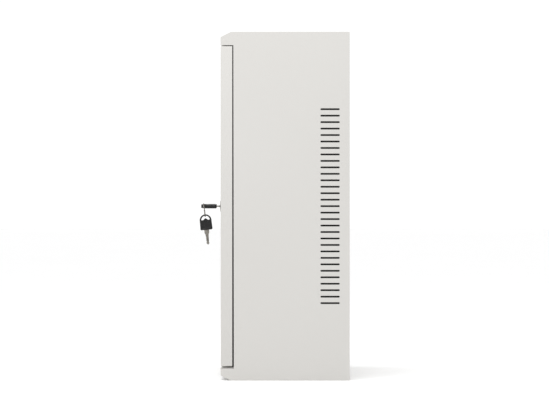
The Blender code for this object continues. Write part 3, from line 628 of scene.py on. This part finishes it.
def threaded(radius, depth, pitch, length, sides=32):
    """A bolt's body: r = radius - depth w, where w rises and falls once per pitch of the helix.

    Both ends narrow over one pitch, and close.
    """
    height = np.linspace(0.0, length, int(length / pitch * 8))
    angle = full_turn(sides)
    wave = np.abs((height[:, None] / pitch - angle / math.tau) % 1.0 - 0.5) * 2.0
    taper = np.clip(np.minimum(height, length - height) / pitch + 0.75, 0.0, 1.0)
    r = (radius - depth * wave) * taper[:, None]
    r = np.concatenate([r[:1] * 0, r, r[-1:] * 0])
    height = np.concatenate([height[:1], height, height[-1:]])
    z = height[:, None] * np.ones(sides)
    return np.stack([r * np.cos(angle), r * np.sin(angle), z], axis=-1)


print("lathe ready")

# %% Nuts
def add_nut(node, axis, direction, bore):
    """A nut that fills its node's box: thick along one axis, with its flats across the others."""
    low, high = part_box(node)
    size = high - low
    across = min(size[other] for other in range(3) if other != axis)
    at = middle(node)
    at[axis] = low[axis] if direction[axis] > 0 else high[axis]
    grid = hex_nut(across, bore, size[axis])
    add_piece(node + "_turned", [turned(grid, at, direction, hollow=True)], [node])


# Each bore clears its thread by a hair.
STUD_RADIUS, EARTH_RADIUS, BARREL_RADIUS = 1.5 * MM, 3.0 * MM, 8.2 * MM
PLAY = 0.05 * MM
for level in ("upper", "lower"):
    add_nut(f"filter_nut_{level}_right", 0, (-1.0, 0.0, 0.0), STUD_RADIUS + PLAY)
    add_nut(f"filter_nut_{level}_left", 0, (1.0, 0.0, 0.0), STUD_RADIUS + PLAY)
add_nut("earth_nut", 1, TO_FRONT, EARTH_RADIUS + PLAY)
add_nut("lock_nut", 1, TO_BACK, BARREL_RADIUS + PLAY)

# %% Screws
SHANK_RADIUS = 2.4 * MM
HEAD_LIFT = 2.4 * MM


def add_screw(node, axis, direction):
    """A pan-head screw that fills its node's box."""
    low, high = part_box(node)
    size = high - low
    head = min(size[other] for other in range(3) if other != axis) / 2
    at = middle(node)
    at[axis] = high[axis] - HEAD_LIFT if direction[axis] > 0 else low[axis] + HEAD_LIFT
    grid = pan_screw(head, HEAD_LIFT, size[axis] - HEAD_LIFT, SHANK_RADIUS)
    add_piece(node + "_turned", [turned(grid, at, direction)], [node])


for side in ("left", "right"):
    for end in ("front", "rear"):
        add_screw(f"shelf_screw_{end}_{side}", 2, UP)
    add_screw(f"rail_screw_{side}", 1, TO_FRONT)

CAM_LOW, CAM_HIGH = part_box("cam_screw")
cam_lift = 2.0 * MM
cam_radius = (CAM_HIGH.x - CAM_LOW.x) / 2
grid = pan_screw(head=cam_radius, lift=cam_lift, shank=4.0 * MM, radius=1.5 * MM)
at = (LOCK_X, CAM_HIGH.y - cam_lift, LOCK_Z)
add_piece("cam_screw_turned", [turned(grid, at, TO_BACK)], ["cam_screw"])

# %% Hinge pins, bushes, buffers and the earth stud
PIN_RADIUS, PIN_HEAD, BUSH_BORE = 2.5 * MM, 2.0 * MM, 2.9 * MM
PIN_TIP_RADIUS, PIN_TIP = 1.8 * MM, 1.0 * MM

for level, up in (("upper", 1.0), ("lower", -1.0)):
    low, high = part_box("hinge_pin_" + level)
    head, length = (high.x - low.x) / 2, high.z - low.z
    profile = eased([
        (0.0, 0.0), (head, 0.0), (head, PIN_HEAD), (PIN_RADIUS, PIN_HEAD),
        (PIN_RADIUS, length - PIN_TIP), (PIN_TIP_RADIUS, length), (0.0, length),
    ], 0.5 * MM, 4)
    at = middle("hinge_pin_" + level)
    at.z = high.z if up > 0 else low.z
    pin = turned(lathe(profile), at, (0.0, 0.0, -up))
    add_piece(f"hinge_pin_{level}_turned", [pin], ["hinge_pin_" + level])

    low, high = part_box("hinge_bush_" + level)
    outer, length = (high.x - low.x) / 2, high.z - low.z
    wall = [(BUSH_BORE, 0.0), (outer, 0.0), (outer, length), (BUSH_BORE, length)]
    profile = eased(wall, 0.4 * MM, 4, closed=True)
    at = middle("hinge_bush_" + level)
    at.z = low.z
    bush = turned(lathe(profile), at, UP, hollow=True)
    add_piece(f"hinge_bush_{level}_turned", [bush], ["hinge_bush_" + level])

    for side in ("left", "right"):
        node = f"door_buffer_{level}_{side}"
        low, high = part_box(node)
        radius, thickness = (high.x - low.x) / 2, high.y - low.y
        profile = eased([
            (0.0, 0.0), (radius, 0.0), (radius, thickness * 0.55), (radius * 0.8, thickness),
            (0.0, thickness),
        ], 0.9 * MM, 5)
        at = middle(node)
        at.y = high.y
        buffer = turned(lathe(profile), at, TO_FRONT)
        add_piece(node + "_domed", [buffer], [node])

low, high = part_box("earth_stud")
at = middle("earth_stud")
at.y = high.y
rim, thick = (high.x - low.x) / 2, 1.2 * MM
profile = eased([(0.0, 0.0), (rim, 0.0), (rim, thick), (0.0, thick)], 0.3 * MM, 3)
collar = turned(lathe(profile), at, TO_FRONT)
bolt = threaded(EARTH_RADIUS, depth=0.45 * MM, pitch=1.0 * MM, length=high.y - low.y)
add_piece("earth_stud_threaded", [collar, turned(bolt, at, TO_FRONT)], ["earth_stud"])

# %% [markdown]
# ## The side panels
# Each side is one sheet with thirty-one slots punched through it. Cutting the slots from a solid
# would leave ragged faces round them, so the sheet is drawn the way a laser cuts it: a flat
# curve holds the outline and one loop for each slot, and Blender fills it, gives it thickness
# and rounds every edge. Its notch is a little out of true, as welded sheet often is, so the gap
# beside the hung door widens from top to bottom. The folded front flange and the two filter
# studs are added as shells.

# %% Outlines of the side sheet
SHEET = 1.2 * MM
SLOT_COUNT, SLOT_PITCH = 31, 11.12 * MM
SLOT_LENGTH, SLOT_HEIGHT = 33.2 * MM, 3.1 * MM
SLOT_Y = -33.7 * MM
NOSE_RUN, NOSE_DROP = 18.0 * MM, 9.0 * MM
NOSE_LIP_TOP, NOSE_LIP_BOTTOM = 23.1 * MM, 20.6 * MM
GAP_TOP, GAP_BOTTOM = 1.85 * MM, 2.75 * MM
FRAME_GAP, FLANGE, FLANGE_END = 2.8 * MM, 20.0 * MM, 40.5 * MM
STUD_Z, STUD_LENGTH = 192.0 * MM, 10.5 * MM
EDGE_ROUND = 0.28 * MM


def side_outline():
    """The side view in y and z, from the top rear corner round to the bottom rear corner."""
    top, rear, front = PANEL_HIGH.z, PANEL_HIGH.y, PANEL_LOW.y
    above, below = top - NOSE_LIP_TOP, -top + NOSE_LIP_BOTTOM
    return np.array([
        (rear, top), (front + NOSE_RUN, top), (front, top - NOSE_DROP), (front, above),
        (DOOR_HIGH.y + GAP_TOP, above), (DOOR_HIGH.y + GAP_BOTTOM, below),
        (front, below), (front, -top + NOSE_DROP), (front + NOSE_RUN, -top), (rear, -top),
    ])


def slot_outline(z):
    """A slot with round ends: two half circles, each of 12 steps, joined by straight sides."""
    turn = np.linspace(-math.pi / 2, math.pi / 2, 13)
    half = SLOT_HEIGHT / 2
    end = np.stack([half * np.cos(turn) + SLOT_LENGTH / 2 - half, half * np.sin(turn)], axis=-1)
    return (np.concatenate([end, -end]) + (SLOT_Y, z))[::-1]


middles = (np.arange(SLOT_COUNT) - (SLOT_COUNT - 1) / 2) * SLOT_PITCH
outlines = [side_outline()] + [slot_outline(z) for z in middles]
print("outlines:", len(outlines))


# %% The sheet and its flange
def punched_sheet(name, outlines, thickness, edge):
    """A filled flat curve as a mesh: its thickness is along z, and edge rounds its rims."""
    curve = bpy.data.curves.new(name, "CURVE")
    curve.dimensions = "2D"
    curve.fill_mode = "BOTH"
    curve.extrude = thickness / 2 - edge
    curve.bevel_depth = edge
    curve.bevel_resolution = 2
    curve.offset = -edge
    for outline in outlines:
        spline = curve.splines.new("POLY")
        spline.points.add(len(outline) - 1)
        depth_and_weight = np.broadcast_to((0.0, 1.0), outline.shape)
        points = np.concatenate([outline, depth_and_weight], axis=1)
        spline.points.foreach_set("co", points.ravel())
        spline.use_cyclic_u = True
    cutout = bpy.data.objects.new(name, curve)
    mesh = bpy.data.meshes.new_from_object(cutout)
    bpy.data.objects.remove(cutout)
    bpy.data.curves.remove(curve)
    return mesh


def slab_grid(low, high, edge):
    """A box with rounded edges: an eased rectangle carried along z and drawn in at its ends.

    Over the last edge of its length it is drawn in by edge less edge sin a, a quarter turn.
    """
    corners = [(low[0], low[1]), (high[0], low[1]), (high[0], high[1]), (low[0], high[1])]
    section = eased(corners, edge, 4, closed=True)
    centre = (np.array(low[:2]) + high[:2]) / 2
    reach = np.abs(np.array(high[:2]) - low[:2]) / 2
    turn = np.linspace(0.0, math.pi / 2, 4)
    inset = edge * np.sin(turn) - edge
    inset = np.concatenate([[0.0], inset, inset[::-1], [0.0]])
    shrink = 1.0 + inset[:, None] / reach
    shrink[[0, -1]] = 0.0
    lift = edge * (1.0 - np.cos(turn))
    z = np.concatenate([[low[2]], low[2] + lift, high[2] - lift[::-1], [high[2]]])
    flat = centre + (section - centre)[None] * shrink[:, None]
    return np.concatenate([flat, np.broadcast_to(z[:, None, None], flat.shape[:2] + (1,))], axis=2)


sheet = punched_sheet("punched_side", outlines, SHEET, EDGE_ROUND)
flat_points = np.empty(len(sheet.vertices) * 3)
sheet.vertices.foreach_get("co", flat_points)
flat_points = flat_points.reshape(-1, 3)
sheet_faces = [list(face.vertices) for face in sheet.polygons]
print("punched sheet:", len(flat_points), "points,", np.ptp(flat_points, axis=0).round(4))

# %% Side panels
frame_front = DOOR_HIGH.y + FRAME_GAP
reach = PANEL_HIGH.z - FLANGE_END

for side_name, side in (("right", 1.0), ("left", -1.0)):
    node = "side_panel_" + side_name
    web_x = side * (PANEL_HIGH.x - SHEET / 2)
    web = np.stack([flat_points[:, 2] + web_x, flat_points[:, 0], flat_points[:, 1]], axis=-1)
    ends = sorted((side * (PANEL_HIGH.x - FLANGE), side * (PANEL_HIGH.x - EDGE_ROUND)))
    low, high = (ends[0], frame_front, -reach), (ends[1], frame_front + SHEET, reach)
    shells = [shell(slab_grid(low, high, EDGE_ROUND))]
    for up in (1.0, -1.0):
        stud = threaded(STUD_RADIUS, depth=0.2 * MM, pitch=0.5 * MM, length=STUD_LENGTH, sides=20)
        shells.append(turned(stud, (web_x, SLOT_Y, up * STUD_Z), (-side, 0.0, 0.0)))
    mesh = closed_mesh(node + "_punched", shells + [(web, sheet_faces)])
    piece = enlist(node + "_punched", mesh, [node])
    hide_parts(node)
    even = piece.modifiers.new("Flat faces stay flat", "WEIGHTED_NORMAL")
    even.keep_sharp = True
    print(node, "has", len(mesh.polygons), "faces")

# %% [markdown]
# ## The lock barrel
# The lock is a threaded tube that drops through the door and is held by a nut behind it. Its
# head is a low dome with a turned step round the key plug. The thread is cut straight into the
# profile: on those rows the radius also falls and rises with the angle, once per pitch, and two
# flats keep the barrel from turning in its hole.

# %% Lock barrel
head_radius = (LOCK_HIGH.x - LOCK_LOW.x) / 2
bore = 6.3 * MM
length = LOCK_HIGH.y - LOCK_LOW.y
head = eased([
    (bore, 1.0 * MM), (bore, 0.1 * MM), (bore + 0.9 * MM, 0.0), (bore + 1.2 * MM, 0.25 * MM),
    (head_radius - 1.6 * MM, 0.25 * MM), (head_radius - 0.5 * MM, 0.7 * MM),
    (head_radius, 1.1 * MM), (head_radius, 1.5 * MM),
    (BARREL_RADIUS, 1.5 * MM), (BARREL_RADIUS, 2.2 * MM),
], 0.25 * MM, 3)
run = np.linspace(2.6 * MM, length - 0.8 * MM, 110)
thread = np.stack([np.full(len(run), BARREL_RADIUS), run], axis=-1)
tail = np.array([
    (BARREL_RADIUS - 0.6 * MM, length), (bore + 0.2 * MM, length), (bore, length - 0.3 * MM),
])
grid = lathe(np.concatenate([head, thread, tail]), 72)
angle = full_turn(72)
pitch, depth = 1.25 * MM, 0.45 * MM
wave = np.abs((run[:, None] / pitch - angle / math.tau) % 1.0 - 0.5) * 2.0
cut_back = np.zeros(grid.shape[:2])
cut_back[len(head):len(head) + len(run)] = wave * depth / BARREL_RADIUS
grid[..., :2] *= (1.0 - cut_back)[..., None]
flat = 7.3 * MM
behind_door = grid[..., 2] > 2.3 * MM
grid[..., 0] = np.where(behind_door, np.clip(grid[..., 0], -flat, flat), grid[..., 0])
barrel = turned(grid, (LOCK_X, LOCK_LOW.y, LOCK_Z), TO_BACK, hollow=True)
add_piece("lock_barrel_threaded", [barrel], ["lock_barrel"])

# %% [markdown]
# ## The keys
# A key's bow is moulded plastic round the head of the blade. It is a rounded slab with a
# crescent hole for the ring and a shallow recess on each face for the grip. Both outlines are
# written as a distance from one point inside the hole, so the slab is a band between them: the
# rows go over the outer edge, across the face, down through the hole and back underneath.

# %% Key bow
BOW_LENGTH = 27.0 * MM
BOW_RADIUS = 10.25 * MM
BOW_THICKNESS = 6.2 * MM
BOW_CORNER = 1.4 * MM
HOLE_RADIUS = 7.75 * MM
HOLE_ACROSS = 7.5 * MM
HOLE_CENTRE = 4.7 * MM
EDGE = 1.0 * MM
GRIP_ACROSS, GRIP_TOP, GRIP_BOTTOM, GRIP_DEPTH = 6.9 * MM, 12.2 * MM, 24.2 * MM, 0.45 * MM


def bow_reach(direction):
    """How far the bow's outline is from the hole's middle: an arch above, straight sides below."""
    x, z = direction
    lift = HOLE_CENTRE - BOW_RADIUS
    arch = -lift * z + np.sqrt((lift * z) ** 2 - lift**2 + BOW_RADIUS**2)
    spread = 0.3 * MM / (BOW_LENGTH - BOW_RADIUS)
    slant = math.sqrt(0.5)
    lines = [
        (1.0, -spread, BOW_RADIUS - spread * BOW_RADIUS),
        (0.0, 1.0, BOW_LENGTH),
        (slant, slant, (BOW_RADIUS + 0.3 * MM + BOW_LENGTH - BOW_CORNER) * slant),
    ]
    reaches = []
    for a, b, limit in lines:
        towards = a * np.abs(x) + b * z
        length = (limit - b * HOLE_CENTRE) / np.maximum(towards, 1e-6)
        reaches.append(np.where(towards > 1e-6, length, 1.0))
    straight = np.minimum.reduce(reaches)
    return np.where(HOLE_CENTRE + arch * z <= BOW_RADIUS, arch, straight)


def hole_reach(direction):
    """How far the crescent hole's edge is from its middle, read from its outline's angles."""
    sweep = np.radians(np.linspace(-82.0, 82.0, 60))
    height = BOW_RADIUS - HOLE_RADIUS * np.cos(sweep)
    arch = np.stack([HOLE_ACROSS * np.sin(sweep), height], axis=-1)
    saddle = eased([
        arch[-1], (5.3 * MM, 10.0 * MM), (2.6 * MM, 8.7 * MM), (1.2 * MM, 6.9 * MM),
        (-1.2 * MM, 6.9 * MM), (-2.6 * MM, 8.7 * MM), (-5.3 * MM, 10.0 * MM), arch[0],
    ], 1.2 * MM, 8)
    edge = np.concatenate([arch, saddle[1:-1]]) - (0.0, HOLE_CENTRE)
    turn = np.arctan2(edge[:, 0], -edge[:, 1])
    order = np.argsort(turn)
    reach = np.linalg.norm(edge, axis=1)[order]
    return np.interp(np.arctan2(direction[0], -direction[1]), turn[order], reach, period=math.tau)


def bow_grid(columns=360, face_rows=56):
    """The band between the two outlines: (x, y, z) with y through the thickness and z along."""
    angle = full_turn(columns)
    direction = np.array([np.sin(angle), -np.cos(angle)])
    outer, inner = bow_reach(direction), hole_reach(direction)
    half = BOW_THICKNESS / 2
    turn = np.linspace(0.0, math.pi / 2, 7)
    face = np.linspace(0.0, 1.0, face_rows)[1:-1]
    rise, fall = np.sin(turn), np.cos(turn)
    share = np.concatenate([0 * turn, face, 0 * turn + 1])
    extra = np.concatenate([EDGE * (1 - fall), EDGE * (1 - 2 * face), -EDGE * (1 - rise)])
    top = half - EDGE
    height = np.concatenate([top + EDGE * rise, 0 * face + half, top + EDGE * fall])
    share = np.concatenate([share, share[::-1]])
    extra = np.concatenate([extra, extra[::-1]])
    height = np.concatenate([height, -height[::-1]])
    reach = outer - (share[:, None] * (outer - inner) + extra[:, None])
    x = reach * direction[0]
    z = HOLE_CENTRE + reach * direction[1]
    fade = 0.5 * MM
    grip = soft_step((GRIP_ACROSS - np.abs(x)) / fade)
    grip *= soft_step((z - GRIP_TOP) / fade) * soft_step((GRIP_BOTTOM - z) / fade)
    y = height[:, None] - np.sign(height[:, None]) * GRIP_DEPTH * grip
    return np.stack([x, y, z], axis=-1)


print("bow grid:", bow_grid().shape)

# %% [markdown]
# The blade is one tube of flat section from the bow to the tip. Its half width falls in steps,
# which are the cuts that lift the lock's wafers, and a groove runs along each face. The ring is
# a split ring: two turns of flat wire side by side, with the short jog where one turn passes
# over to the other.

# %% Key blade
BLADE_SHOULDER = 4.2 * MM
BLADE_TAPER = 3.4 * MM
BLADE_HALF_THICKNESS = 1.0 * MM
BLADE_STEP = 0.3 * MM
GROOVE_OFF, GROOVE_WIDTH, GROOVE_DEPTH = 1.3 * MM, 0.6 * MM, 0.5 * MM
KEY_LENGTH = 52.7 * MM


def blade_grid():
    """For each z, x runs across the width and back, and y is the half thickness less a groove.

    The groove is its depth times a bell curve of x about its own line, on each face.
    """
    start, neck = BOW_LENGTH - 0.3 * MM, BOW_LENGTH + 5.0 * MM
    cuts = np.array([2.6, 2.7, 2.1, 2.6, 2.0, 2.5, 1.6, 2.8, 0.4]) * MM
    shares = np.array([0.0, 0.12, 0.24, 0.36, 0.48, 0.58, 0.68, 0.82, 1.0])
    stations = neck + BLADE_TAPER + shares * (KEY_LENGTH - neck - BLADE_TAPER)
    stations = np.concatenate([[start, neck], stations])
    widths = np.concatenate([[BLADE_SHOULDER] * 2, cuts])
    z = np.unique(np.concatenate([stations, np.arange(start, KEY_LENGTH, BLADE_STEP)]))
    half = np.interp(z, stations, widths)
    across = np.sin(np.linspace(-math.pi / 2, math.pi / 2, 33))
    across = np.concatenate([across, across[::-1]])
    face = np.repeat([1.0, -1.0], 33)
    x = half[:, None] * across
    body = BLADE_HALF_THICKNESS * (1.0 - 0.35 * soft_step((np.abs(across) - 0.9) / 0.1))
    groove = GROOVE_DEPTH * np.exp(-(((x - GROOVE_OFF * face) / GROOVE_WIDTH) ** 2))
    groove *= soft_step((z[:, None] - start - 2.5 * MM) / MM)
    y = face * (body - groove)
    return capped(np.stack([x, y, z[:, None] + 0 * x], axis=-1))


print("blade grid:", blade_grid().shape)


# %% Keys in their places
# The key in the lock lies along +Y, its width along X and its face up, rolled by the lock's play.
KEY_ROLL = math.radians(5.0)
key_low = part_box("key_bow")[0]
c, s = math.cos(KEY_ROLL), math.sin(KEY_ROLL)
key_turn = np.array([(c, 0.0, -s), (-s, 0.0, -c), (0.0, 1.0, 0.0)])
key_top = np.array([LOCK_X, key_low.y, LOCK_Z])
# The spare hangs from its pivot on the ring, its width across Y and its foot tipped back a little.
SPARE_TILT = math.radians(6.0)
SPARE_HANG = 3.8 * MM
c, s = math.cos(SPARE_TILT), math.sin(SPARE_TILT)
spare_turn = np.array([(0.0, c, s), (1.0, 0.0, 0.0), (0.0, s, -c)])
spare_top = np.array(JOINTS["spare_key_swing"]["pos_m"]) - SPARE_HANG * spare_turn[2]
for prefix, top, turn in (("key", key_top, key_turn), ("spare_key", spare_top, spare_turn)):
    bow = shell(top + bow_grid() @ turn, (True, True))
    add_piece(prefix + "_bow_moulded", [bow], [prefix + "_bow"])
    blade = shell(top + blade_grid() @ turn)
    add_piece(prefix + "_blade_cut", [blade], [prefix + "_blade"], 40.0)


# %% Split ring
def split_ring_grid(radius, wire, width, jog=math.radians(50.0)):
    """Two turns about +Z: the angle runs to 4 pi less the jog, and z shifts by one wire over it.

    The section is a rounded square, |cos|^(1/2) by |sin|^(1/2), wire by half the width.
    """
    sweep = np.linspace(0.0, 2 * math.tau - jog, 260)
    shift = soft_step((sweep - (math.tau - jog)) / jog) - 0.5
    around = full_turn(20)
    c, s = np.cos(around), np.sin(around)
    out = radius + wire / 2 * np.sign(c) * np.sqrt(np.abs(c))
    lift = width / 4 * 0.96 * np.sign(s) * np.sqrt(np.abs(s))
    z = (shift * width / 2)[:, None] + lift
    x, y = np.cos(sweep)[:, None] * out, np.sin(sweep)[:, None] * out
    return capped(np.stack([x, y, z], axis=-1))


ring_axis = -np.array(JOINTS["ring_swing"]["axis"])
ring_turn = np.array([(1.0, 0.0, 0.0), np.cross(ring_axis, (1.0, 0.0, 0.0)), ring_axis])
ring = split_ring_grid(radius=11.2 * MM, wire=1.4 * MM, width=1.8 * MM)
ring = np.array(middle("key_ring")) + ring @ ring_turn
add_piece("split_ring", [shell(ring)], ["key_ring"])

# %% [markdown]
# ## Mats, foam and the shelf
# The batteries stand on ribbed rubber mats. A mat is a prism: one ribbed outline, a cosine wave
# on a flat base, carried along the box's depth. The dust filter is a pad of foam with soft
# edges, and its face rises and falls a little because foam is never flat. The shelf is a tray
# folded from one sheet, so here it is drawn in one piece in place of its sheet and two lips.


# %% Ribbed mats and foam pads
def ribbed_grid(low, high, pitch, rib):
    """z = top - rib (1 - cos(2 pi x / pitch)) / 2, closed below and at both ends."""
    across = np.linspace(low.x, high.x, int((high.x - low.x) / pitch * 10) + 1)
    top = high.z - rib * (0.5 - 0.5 * np.cos(math.tau * across / pitch))
    top[[0, -1]] = low.z
    base = np.full_like(across, low.z)
    rows = [(low.y, base), (low.y, top), (high.y, top), (high.y, base)]
    return np.stack([np.stack([across, np.full_like(across, y), z], axis=-1) for y, z in rows])


for node in ("shelf_mat", "floor_mat"):
    low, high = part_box(node)
    ribs = ribbed_grid(low, high, pitch=4.0 * MM, rib=1.2 * MM)
    add_piece(node + "_ribbed", [shell(ribs, (True, False))], [node])


def pad_grid(low, high, edge, swell):
    """A rounded box: sections along z are superellipses, and shrink by edge at both ends.

    swell adds small waves, sines of y and z, to the broad faces.
    """
    centre, half = (low + high) / 2, (high - low) / 2
    z = np.linspace(low.z, high.z, 240)
    near_end = np.clip(1.0 - np.minimum(z - low.z, high.z - z) / edge, 0.0, 1.0)
    inset = edge * (1.0 - np.sqrt(1.0 - near_end**2))
    around = full_turn(96)
    c, s = np.cos(around), np.sin(around)
    x = np.sign(c) * np.abs(c) ** 0.35 * (half.x - inset[:, None])
    y = np.sign(s) * np.abs(s) ** 0.12 * (half.y - inset[:, None])
    wave = np.sin(y * 900.0 + z[:, None] * 310.0) + np.sin(z[:, None] * 740.0 - y * 260.0)
    x -= np.sign(x) * swell * (0.5 + 0.25 * wave)
    return capped(np.stack([centre.x + x, centre.y + y, z[:, None] + 0 * x], axis=-1))


for node in ("vent_filter_left", "vent_filter_right"):
    low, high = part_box(node)
    pad = shell(pad_grid(low, high, edge=1.2 * MM, swell=0.3 * MM))
    add_piece(node + "_foam", [pad], [node])

# %% Battery shelf
shelf_low, shelf_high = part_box("battery_shelf")
lip_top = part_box("battery_shelf_lip_front")[1].z
gauge = shelf_high.z - shelf_low.z
bend = 2.2 * MM


def tray_line(inset, floor):
    """Down the front lip, along the floor and up the rear lip, in y and z."""
    front, rear = shelf_low.y + inset, shelf_high.y - inset
    return [(front, lip_top), (front, floor), (rear, floor), (rear, lip_top)]


under = eased(tray_line(0.0, shelf_low.z), bend, 6)
over = eased(tray_line(gauge, shelf_high.z), bend - gauge * 0.6, 6)
section = np.stack([under, over])
grid = np.stack([
    np.stack([np.full(section.shape[:2], x), section[..., 0], section[..., 1]], axis=-1)
    for x in (shelf_low.x, shelf_high.x)
])
band = np.concatenate([grid[0, :1], grid[0, 1:], grid[1, 1:], grid[1, :1]])
outline = np.concatenate([band[:, :1], band, band[:, -1:]], axis=1)
outline[:, [0, -1]] = outline[:, [0, -1]].mean(axis=0, keepdims=True)
tray = add_piece(
    "battery_shelf_folded", [shell(outline, (True, False))],
    ["battery_shelf", "battery_shelf_lip_front", "battery_shelf_lip_rear"],
)
add_bevel(tray, 0.2 * MM, 50.0)

# %% [markdown]
# ## Seams and small fittings
# The case is welded from folded sheets, and the paint flows into the seams and rounds them. A
# seam is a thin bead carried along the edge of the top, the bottom and the back, where they
# meet the side panels. The breaker and the terminals get their clamp screws, deep in their
# funnels.


# %% Paint beads along the seams
def bead_grid(path, radius, sides=10):
    """A round tube along a path, its section turned to stand square to the path at each point.

    The section's first arm is x or z, made square to the path, and the second is their cross.
    """
    path = np.array(path, float)
    steps = np.linalg.norm(np.diff(path, axis=0), axis=1)
    path = path[np.concatenate([[True], steps > 1e-6])]
    along = np.gradient(path, axis=0)
    along /= np.linalg.norm(along, axis=1, keepdims=True)
    guide = np.array([1.0, 0.0, 0.0]) if np.ptp(path[:, 0]) < MM else np.array([0.0, 1.0, 0.0])
    first = guide - along * (along @ guide)[:, None]
    first /= np.linalg.norm(first, axis=1, keepdims=True)
    second = np.cross(along, first)
    turn = full_turn(sides)
    c, s = np.cos(turn)[None, :, None], np.sin(turn)[None, :, None]
    return capped(path[:, None] + radius * (c * first[:, None] + s * second[:, None]))


BEAD, SEAM_OUT = 0.45 * MM, 0.15 * MM
SEAM_END = 21.4 * MM
TOP_LOW, TOP_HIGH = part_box("top_panel")
BACK_LOW, BACK_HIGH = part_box("back_panel")
sunk = BEAD * 0.7
paths = []
for side in (1.0, -1.0):
    x = side * (BACK_HIGH.x + SEAM_OUT)
    for up in (1.0, -1.0):
        paths.append(eased([
            (x, BACK_LOW.y - 1.0 * MM, up * (TOP_HIGH.z - sunk)),
            (x, TOP_LOW.y + NOSE_RUN, up * (TOP_HIGH.z - sunk)),
            (x, TOP_LOW.y + sunk, up * (TOP_HIGH.z - NOSE_DROP - sunk * 0.5)),
            (x, TOP_LOW.y + sunk, up * (TOP_HIGH.z - SEAM_END)),
        ], 1.8 * MM, 5))
    rear = np.linspace(BACK_LOW.z, BACK_HIGH.z, 12)
    paths.append([(x, BACK_HIGH.y - sunk, z) for z in rear])
for up in (1.0, -1.0):
    z = up * (BACK_HIGH.z + SEAM_OUT)
    rear = np.linspace(BACK_LOW.x, BACK_HIGH.x, 12)
    paths.append([(x, BACK_HIGH.y - sunk, z) for x in rear])
beads = [shell(bead_grid(path, BEAD)) for path in paths]
add_detail("seam_beads", beads, "back_panel", "body_paint")

# %% Clamp screws in the breaker and the terminals
BREAKER_SCREW_DEPTH, TERMINAL_SCREW_Y = 21.4 * MM, -34.5 * MM
BREAKER_REACH, TERMINAL_REACH = 32.5 * MM, 19.0 * MM
POLE_OFF = 9.0 * MM
breaker_screw = pan_screw(head=3.1 * MM, lift=1.6 * MM, shank=1.2 * MM, radius=1.8 * MM)
terminal_screw = pan_screw(head=2.6 * MM, lift=1.4 * MM, shank=1.0 * MM, radius=1.5 * MM)
CASE_LOW, CASE_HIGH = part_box("breaker_case")
case_x, rail_z = (CASE_LOW.x + CASE_HIGH.x) / 2, (CASE_LOW.z + CASE_HIGH.z) / 2


def clamp_screws(grid, columns, y, reach):
    """One screw above and one below the rail in each column, their heads to the front."""
    places = [(x, y, rail_z + end * reach) for x in columns for end in (-1.0, 1.0)]
    return [turned(grid, at, TO_FRONT) for at in places]


poles = (case_x - POLE_OFF, case_x + POLE_OFF)
screws = clamp_screws(breaker_screw, poles, CASE_LOW.y + BREAKER_SCREW_DEPTH, BREAKER_REACH)
add_detail("breaker_clamp_screws", screws, "breaker_case", "zinc_plate")

columns = [middle(node).x for node in ("terminal_positive", "terminal_negative")]
screws = clamp_screws(terminal_screw, columns, TERMINAL_SCREW_Y, TERMINAL_REACH)
add_detail("terminal_clamp_screws", screws, "terminal_positive", "zinc_plate")
